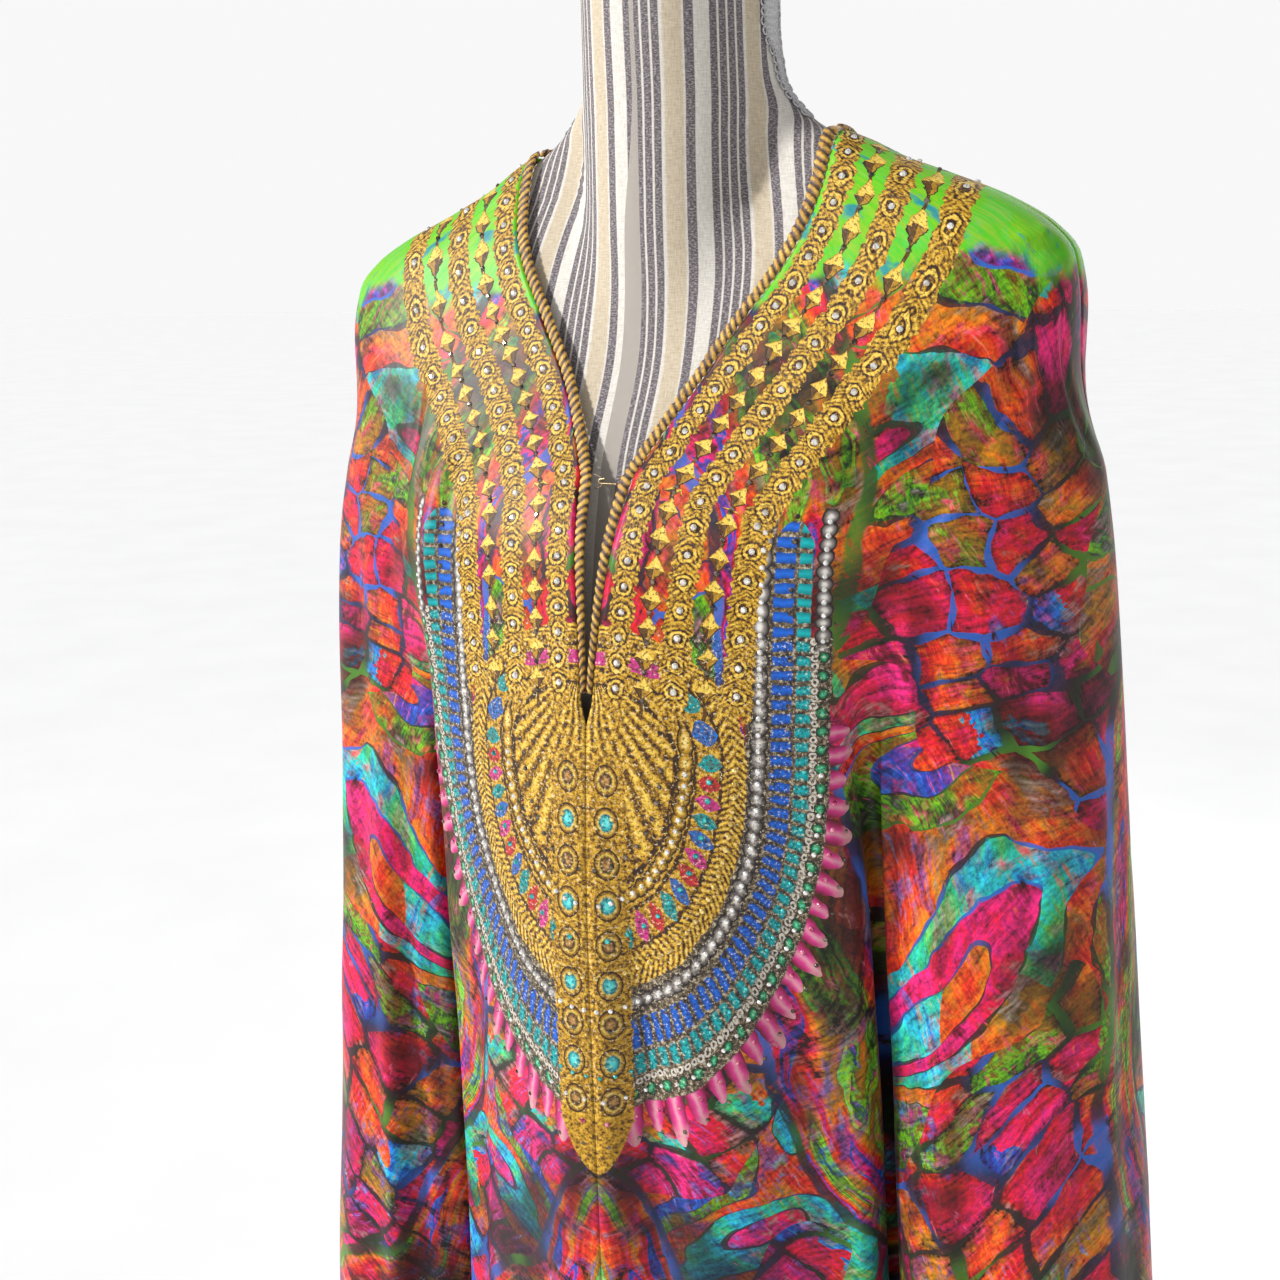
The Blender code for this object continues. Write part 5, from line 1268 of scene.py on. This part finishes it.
for panel_piece, node, flat_size, flat_area in (
    (left_panel, "kaftan_front_left", (0.69, 1.44), 0.62),
    (right_panel, "kaftan_front_right", (0.63, 1.44), 0.58),
    (back_panel, "kaftan_back", (0.95, 1.44), 0.89),
):
    give_thickness(panel_piece, 0.0009)
    panel_piece.data.materials.append(silk_material)
    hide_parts(node)
    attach(panel_piece, "root")


# The neck binding: a gold edge of twisted yarn, sewn along the slit, the V and the back of the neck.
# It is a round-topped band with slanting strands, between the same two lines as its solid.
def station_at(side, width, height):
    """The station where the plain cloth is this far from the middle, at a height."""
    low, high = np.zeros_like(height), np.ones_like(height)
    for _ in range(24):
        middle = (low + high) / 2
        inside = np.abs(plain_cloth(side, middle, height)[..., 0]) < width
        low, high = np.where(inside, middle, low), np.where(inside, high, middle)
    return (low + high) / 2


def even_steps(lines, step):
    """The same lines with points at even steps along the first one."""
    run = np.concatenate([[0.0], np.cumsum(np.linalg.norm(np.diff(lines[0], axis=0), axis=1))])
    at = np.linspace(0, run[-1], max(2, int(run[-1] / step)))
    return at, [np.stack([np.interp(at, run, line[:, k]) for k in range(3)], axis=1) for line in lines]


def twisted_band(name, near, far, outs, rise, twist, sides=16):
    """A round-topped band between two lines, with slanting strands, its foot on the cloth's inner level."""
    at, (near, far, outs) = even_steps([near, far, outs], 0.00055)
    outs /= np.linalg.norm(outs, axis=1, keepdims=True)
    middles, halves = (near + far) / 2, (far - near) / 2 * 0.96
    angles = np.linspace(0, 2 * math.pi, sides, endpoint=False)
    uneven = 0.5 * np.sin(at * 210) + 0.3 * np.sin(at * 530 + 1)
    slant = 2 * math.pi * at[:, None] / twist + 2.6 * np.cos(angles)[None, :] + uneven[:, None] * 0.7
    strand = np.abs(np.sin(slant / 2)) ** 0.8
    fuzz = np.sin(at[:, None] * 2900 + angles[None, :] * 7) * np.sin(at[:, None] * 1700 - angles[None, :] * 5)
    reach = 0.70 + 0.30 * strand + 0.05 * fuzz
    sideways = np.cos(angles)[None, :] * reach
    upwards = (0.5 + 0.5 * np.sin(angles)[None, :] * reach) * rise
    rings = middles[:, None] + halves[:, None] * sideways[..., None] + outs[:, None] * (upwards[..., None] - wall)
    piece = ringed_piece(name, settled(rings))
    values = np.stack([strand.ravel(), np.repeat(at, sides)], axis=1)
    values = np.concatenate([values, [[0.5, at[0]], [0.5, at[-1]]]])
    corners = np.empty(len(piece.data.loops), dtype=np.int32)
    piece.data.loops.foreach_get("vertex_index", corners)
    piece.data.uv_layers.new(name="twist").data.foreach_set("uv", values[corners].astype(np.float32).ravel())
    return piece


def front_lines(side, cloth):
    """The binding's two edges on one front, from the slit's end up to the shoulder seam."""
    column = cloth["cut"][:, 0, 1]
    slit = column[(column > slit_end + 0.0015) & (column < v_foot)][::-1]
    share = (slit - slit_end) / (v_foot - slit_end)
    near_station = station_at(side, seam_gap + (v_foot_half_gap - seam_gap) * share**1.5, slit)
    far_station = station_at(side, centre_gap(slit) - seam_gap, slit)
    near, far = plain_cloth(side, near_station, slit), plain_cloth(side, far_station, slit)
    outs = facing_out(plain_cloth, side, far_station, slit)
    stations, heights = front_stations_fine(150)[1:-1], cloth["cut"][0, 1:-1, 1]
    v_far = panel_cloth(side, stations, heights)
    mirrored = front_edge * (side, 1, 1)
    nearest = [np.argmin(((point - mirrored) ** 2).sum(axis=1)) for point in v_far]
    v_near = mirrored[nearest]
    v_near[0] = near[-1] + (v_near[1] - near[-1]) * 0.5
    v_outs = facing_out(plain_cloth, side, stations, heights)
    kept = stations > 0.02
    return (np.concatenate([near, v_near[kept]]), np.concatenate([far, v_far[kept]]), np.concatenate([outs, v_outs[kept]]))


yarn = Nodes("gold_yarn", 0.5)
yarn_point = yarn.object_point()
hairs = yarn.noise(yarn_point, 900.0, 3.0, 0.7)[0]
tufts = yarn.noise(yarn_point, 190.0, 3.0, 0.6)[0]
strand_share, yarn_along, _ = yarn.parts(yarn.add("ShaderNodeUVMap", uv_map="twist").outputs[0])
# The yarn is darker down in the grooves between its strands: painted shade. The hairs and tufts vary its tone at
# random.
yarn_shade = yarn.sum("MULTIPLY_ADD", strand_share, 0.62, yarn.sum("MULTIPLY_ADD", hairs, 0.55, yarn.sum("MULTIPLY_ADD", tufts, 0.75, -0.64)))
yarn_colour = yarn.colours(yarn_shade, (
    (0.20, (0.030, 0.011, 0.003)), (0.40, (0.17, 0.070, 0.006)), (0.56, (0.46, 0.24, 0.016)), (0.78, (0.72, 0.48, 0.075))))
yarn_material = yarn.finish(yarn_colour, yarn.bump(hairs, 0.0005, 0.9), Sheen_Weight=0.15, Specular_IOR_Level=0.6)
binding_rise = 0.0032
bindings = []
for side, cloth, name, node in ((1, left_cloth, "neck_edge_left", "neck_binding_left"), (-1, right_cloth, "neck_edge_right", "neck_binding_right")):
    near, far, outs = front_lines(side, cloth)
    bindings.append((twisted_band(name, near, far, outs, binding_rise, 0.0046), node))
rear_stations = np.linspace(1.012, 2.0, 90)
rear_share = eased(rear_stations, 1.0, 1.8)
rear_top = neck_point + (back_neck - neck_point) * rear_share
rear_foot = rear_top - (0.0036 + 0.0040 * rear_share) + 0.0006
rear_lines = []
for side, order in ((1, slice(None)), (-1, slice(-2, None, -1))):
    rear_lines.append([
        plain_cloth(side, rear_stations, rear_top)[order],
        plain_cloth(side, rear_stations, rear_foot)[order],
        facing_out(plain_cloth, side, rear_stations, rear_foot)[order],
    ])
near, far, outs = (np.concatenate([a, b]) for a, b in zip(*rear_lines))
bindings.append((twisted_band("neck_edge_back", near, far, outs, binding_rise, 0.0046), "neck_binding_back"))
for piece, node in bindings:
    piece.data.materials.append(yarn_material)
    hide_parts(node)
    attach(piece, "root")


# The fastening at the foot of the V: a bent wire hook on the wearer's left and a thread loop facing it.
def bent_wire(name, path, radius, twists=0.0):
    """A round wire or thread along a smooth line through the points of a path."""
    path = np.asarray(path, float)
    knots = np.arange(len(path), dtype=float)
    fine = np.linspace(0, len(path) - 1, 12 * len(path))
    line = np.stack([smooth_curve(knots, path[:, k])(fine) for k in range(3)], axis=1)
    aheads = np.gradient(line, axis=0)
    aheads /= np.linalg.norm(aheads, axis=1, keepdims=True)
    asides = np.cross(aheads, (0.0, 1.0, 0.0))
    asides /= np.linalg.norm(asides, axis=1, keepdims=True)
    overs = np.cross(aheads, asides)
    angles = np.linspace(0, 2 * math.pi, 12, endpoint=False)
    reach = radius * (1 + 0.10 * twists * np.cos(2 * angles[None, :] + fine[:, None] * 9))
    rings = line[:, None] + reach[..., None] * (
        np.cos(angles)[None, :, None] * asides[:, None] + np.sin(angles)[None, :, None] * overs[:, None])
    return ringed_piece(name, rings)


fastening_height, fastening_half = 1.2445, 0.0083
fastening_station = station_at(1, fastening_half, np.array([fastening_height]))
fastening_level = plain_cloth(1, fastening_station, np.array([fastening_height]))[0, 1] - 0.0002
hook = bent_wire("wire_hook", [(fastening_half + x, fastening_level, fastening_height + z) for x, z in (
    (-0.0014, 0.0), (-0.0040, 0.0), (-0.0074, 0.0), (-0.0104, 0.0), (-0.0118, 0.0011), (-0.0106, 0.0023), (-0.0082, 0.0026))], 0.0005)
metal = Nodes("hook_brass", 0.34)
tarnish = metal.noise(metal.object_point(), 700.0, 3.0)[0]
metal_colour = metal.colours(tarnish, ((0.35, (0.30, 0.20, 0.09)), (0.62, (0.66, 0.52, 0.30))))
hook.data.materials.append(metal.finish(metal_colour, metal.bump(tarnish, 0.0001, 0.3), Metallic=1.0))
loop = bent_wire("thread_loop", [(-fastening_half + x, fastening_level + 0.0016, fastening_height + z) for x, z in (
    (0.0014, -0.0030), (0.0040, -0.0024), (0.0062, -0.0006), (0.0066, 0.0008), (0.0060, 0.0022), (0.0040, 0.0038), (0.0014, 0.0044))], 0.0005, 1.0)
loop_thread = Nodes("loop_thread", 0.8)
plies_noise = loop_thread.noise(loop_thread.object_point(), 1500.0, 2.0)[0]
loop_colour = loop_thread.colours(plies_noise, ((0.35, (0.10, 0.06, 0.035)), (0.62, (0.34, 0.24, 0.17))))
loop.data.materials.append(loop_thread.finish(loop_colour, loop_thread.bump(plies_noise, 0.0002, 0.8)))
for piece, node, slot in ((hook, "neck_hook", "hook_metal"), (loop, "neck_loop", "thread")):
    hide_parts(node)
    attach(piece, "root")


# Hot-fixed crystals on the print: small faceted stones at the middles of the braid's rosettes, at the
# lozenges' tips and over the bib. Each lies flat on the silk where its motif is.
def stone_shape(sides=8, table=0.55, depth=0.62):
    """A flat-backed faceted stone of radius 1: a girdle, slanting facets and a flat table."""
    girdle = [(math.cos(2 * math.pi * i / sides), math.sin(2 * math.pi * i / sides), 0.0) for i in range(sides)]
    half = math.pi / sides
    top = [(table * math.cos(2 * math.pi * i / sides + half), table * math.sin(2 * math.pi * i / sides + half), depth) for i in range(sides)]
    faces = [tuple(range(sides, 2 * sides))]
    for i in range(sides):
        j = (i + 1) % sides
        faces += [(i, j, sides + i), (j, sides + j, sides + i)]
    faces.append(tuple(range(sides - 1, -1, -1)))
    return girdle + top, faces


def on_panel(cloth, wanted, layer):
    """Points, normals and directions of a panel at places given in one of its flat layers."""
    grid, flat = cloth["points"], cloth[layer]
    table = flat.reshape(-1, 2)
    columns = grid.shape[1]
    found = []
    for place in np.asarray(wanted, float):
        nearest = int(np.argmin(((table - place) ** 2).sum(axis=1)))
        row, column = divmod(nearest, columns)
        row, column = min(max(row, 1), grid.shape[0] - 2), min(max(column, 1), columns - 2)
        down = (grid[row + 1, column] - grid[row - 1, column]) / 2
        along = (grid[row, column + 1] - grid[row, column - 1]) / 2
        flat_down = (flat[row + 1, column] - flat[row - 1, column]) / 2
        flat_along = (flat[row, column + 1] - flat[row, column - 1]) / 2
        slopes = np.stack([flat_down, flat_along], axis=1)
        if abs(np.linalg.det(slopes)) < 1e-8:
            continue
        steps = np.linalg.solve(slopes, place - flat[row, column])
        point = grid[row, column] + down * steps[0] + along * steps[1]
        normal = np.cross(down, along) * cloth["side"]
        normal /= np.linalg.norm(normal)
        if np.abs(steps).max() < 2.5:
            up = -down - normal * np.dot(-down, normal)
            up /= np.linalg.norm(up)
            found.append((point, normal, up, place))
    return found


crystal_sets = {"clear_crystals": [], "gold_crystals": [], "smoky_crystals": [], "turquoise_crystals": [], "rose_crystals": []}
rng = np.random.default_rng(7)
edge_length = np.linalg.norm(np.diff(front_edge, axis=0), axis=1).sum()
back_length = np.linalg.norm(np.diff(rear_edge, axis=0), axis=1).sum()
for cloth, length in ((left_cloth, edge_length), (right_cloth, edge_length), (back_cloth, back_length)):
    for middle, pitch in zip(band_middles, band_pitch):
        alongs = np.arange(pitch * 0.5, length, pitch)
        for found in on_panel(cloth, [(along, middle) for along in alongs], "neck"):
            if cloth is back_cloth or found[0][2] > bands_foot + 0.008:
                crystal_sets["clear_crystals"].append((*found[:3], 0.00185))
    for middle, pitch in zip(lozenge_middles, lozenge_pitch):
        alongs = np.arange(pitch * 0.5, length, pitch)
        for found in on_panel(cloth, [(along - pitch * 0.42, middle) for along in alongs], "neck"):
            if cloth is back_cloth or found[0][2] > bands_foot + 0.008:
                crystal_sets["smoky_crystals"].append((*found[:3], 0.00155))


def bib_place(share, evened_angle):
    """The flat place of a bib motif, from its share of the bib's size and its evened angle from straight down."""
    angles = np.linspace(0, math.pi / 2, 400)
    angle = np.interp(evened_angle, angles - bib_evening * np.sin(2 * angles), angles)
    return (bib_wide * share * math.sin(angle), bib_middle - bib_deep * share * math.cos(angle))


bib_sets = (
    ("clear_crystals", 0.617, 26, 0.5, 0.00150, 1.0),
    ("smoky_crystals", 0.668, 30, 0.5, 0.00130, 1.0),
    ("turquoise_crystals", 0.786, 30, 0.5, 0.00125, 1.0),
    ("clear_crystals", 0.848, 23, 0.5, 0.00140, 1.0),
    ("rose_crystals", 0.905, 19, 0.5, 0.00150, 0.95),
    ("smoky_crystals", 0.965, 19, 0.5, 0.00125, 0.95),
    ("gold_crystals", 0.533, 22, 0.5, 0.00155, 1.0),
    ("turquoise_crystals", 0.443, 13, 0.0, 0.00160, 1.0),
    ("clear_crystals", 0.355, 17, 0.0, 0.00140, 1.0),
    ("smoky_crystals", 0.270, 9, 0.5, 0.00150, 1.0),
    ("gold_crystals", 0.170, 5, 0.5, 0.00150, 1.0),
)
for cloth in (left_cloth, right_cloth):
    for kind, share, count, shift, size, reach in bib_sets:
        places = [bib_place(share, (i + shift) / count * math.pi / 2) for i in range(int(count * reach))]
        for found in on_panel(cloth, [place for place in places if place[0] > 0.0035], "cut"):
            crystal_sets[kind].append((*found[:3], size))
    for kind, share, pitch in (("clear_crystals", 0.617, 0.0086), ("smoky_crystals", 0.725, 0.0120), ("clear_crystals", 0.845, 0.0066)):
        heights = np.arange(bib_middle + 0.007 if share < 0.8 else 1.170, bib_top - 0.004, pitch)
        for found in on_panel(cloth, [(bib_wide * share, height) for height in heights], "cut"):
            crystal_sets[kind].append((*found[:3], 0.0015))
crystal_tints = {
    "clear_crystals": ((0.62, 0.60, 0.56), (0.98, 0.97, 0.94)),
    "gold_crystals": ((0.48, 0.30, 0.05), (0.95, 0.74, 0.30)),
    "smoky_crystals": ((0.035, 0.028, 0.022), (0.26, 0.21, 0.16)),
    "turquoise_crystals": ((0.0, 0.22, 0.24), (0.10, 0.66, 0.62)),
    "rose_crystals": ((0.42, 0.03, 0.12), (0.90, 0.35, 0.46)),
}
stone_vertices, stone_faces = stone_shape()
for kind, stones in crystal_sets.items():
    points, outs, ups = (np.array([stone[k] for stone in stones]) for k in range(3))
    sizes = np.array([stone[3] for stone in stones]) * rng.uniform(0.92, 1.08, len(stones))
    spin = rng.uniform(0, 2 * math.pi, len(stones))[:, None]
    rights = np.cross(ups, outs)
    spun = rights * np.cos(spin) + ups * np.sin(spin)
    crystals = placed_copies(kind, stone_vertices, stone_faces, points + outs * 0.00012, spun, np.cross(outs, spun), outs, sizes, smooth=False)
    glass = Nodes(kind, 0.08)
    glints = glass.noise(glass.object_point(), 420.0, 2.0)[0]
    dark_tint, light_tint = crystal_tints[kind]
    crystals.data.materials.append(glass.finish(glass.colours(glints, ((0.38, dark_tint), (0.60, light_tint))), Metallic=0.55, Specular_IOR_Level=0.8))
    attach(crystals, "root")


# A plain pale floor and soft studio light from above and both sides.
bpy.ops.mesh.primitive_plane_add(size=60.0, location=(0.0, 0.0, 0.0))
floor = bpy.context.object
floor.name = "studio_floor"
floor_paint = Nodes("pale_floor", 0.9)
mottle = floor_paint.noise(floor_paint.object_point(), 3.0, 2.0)[0]
floor.data.materials.append(floor_paint.finish(floor_paint.colours(mottle, ((0.3, (0.90, 0.90, 0.90)), (0.7, (0.93, 0.93, 0.93))))))
world = bpy.data.worlds.new("studio")
world.use_nodes = True
sky_nodes, sky_links = world.node_tree.nodes, world.node_tree.links
direction = sky_nodes.new("ShaderNodeTexCoord")
upward = sky_nodes.new("ShaderNodeSeparateXYZ")
sky = sky_nodes.new("ShaderNodeValToRGB")
sky.color_ramp.elements[0].position = 0.16
sky.color_ramp.elements[0].color = (0.94, 0.94, 0.94, 1.0)
sky.color_ramp.elements[1].position = 0.30
sky.color_ramp.elements[1].color = (0.36, 0.36, 0.37, 1.0)
sky_links.new(direction.outputs["Generated"], upward.inputs[0])
sky_links.new(upward.outputs[2], sky.inputs[0])
sky_links.new(sky.outputs[0], sky_nodes["Background"].inputs[0])
sky_nodes["Background"].inputs[1].default_value = 1.0
bpy.context.scene.world = world
for lamp_name, kind, place, aim, size, power in (
    ("key_light", "SUN", (-2.1, -1.7, 2.5), (0.0, 0.0, 1.15), math.radians(7), 4.5),
    ("fill_light", "AREA", (2.3, -1.5, 1.7), (0.0, 0.0, 1.1), 1.8, 3.0),
    ("back_light", "AREA", (0.6, 2.6, 2.4), (0.0, 0.0, 1.1), 2.0, 14.0),
):
    lamp_data = bpy.data.lights.new(lamp_name, kind)
    if kind == "SUN":
        lamp_data.angle = size
    else:
        lamp_data.shape = "DISK"
        lamp_data.size = size
    lamp_data.energy = power
    lamp = bpy.data.objects.new(lamp_name, lamp_data)
    bpy.context.scene.collection.objects.link(lamp)
    lamp.location = place
    lamp.rotation_euler = (Vector(aim) - Vector(place)).to_track_quat("-Z", "Y").to_euler()
bpy.context.scene.view_settings.view_transform = "Standard"
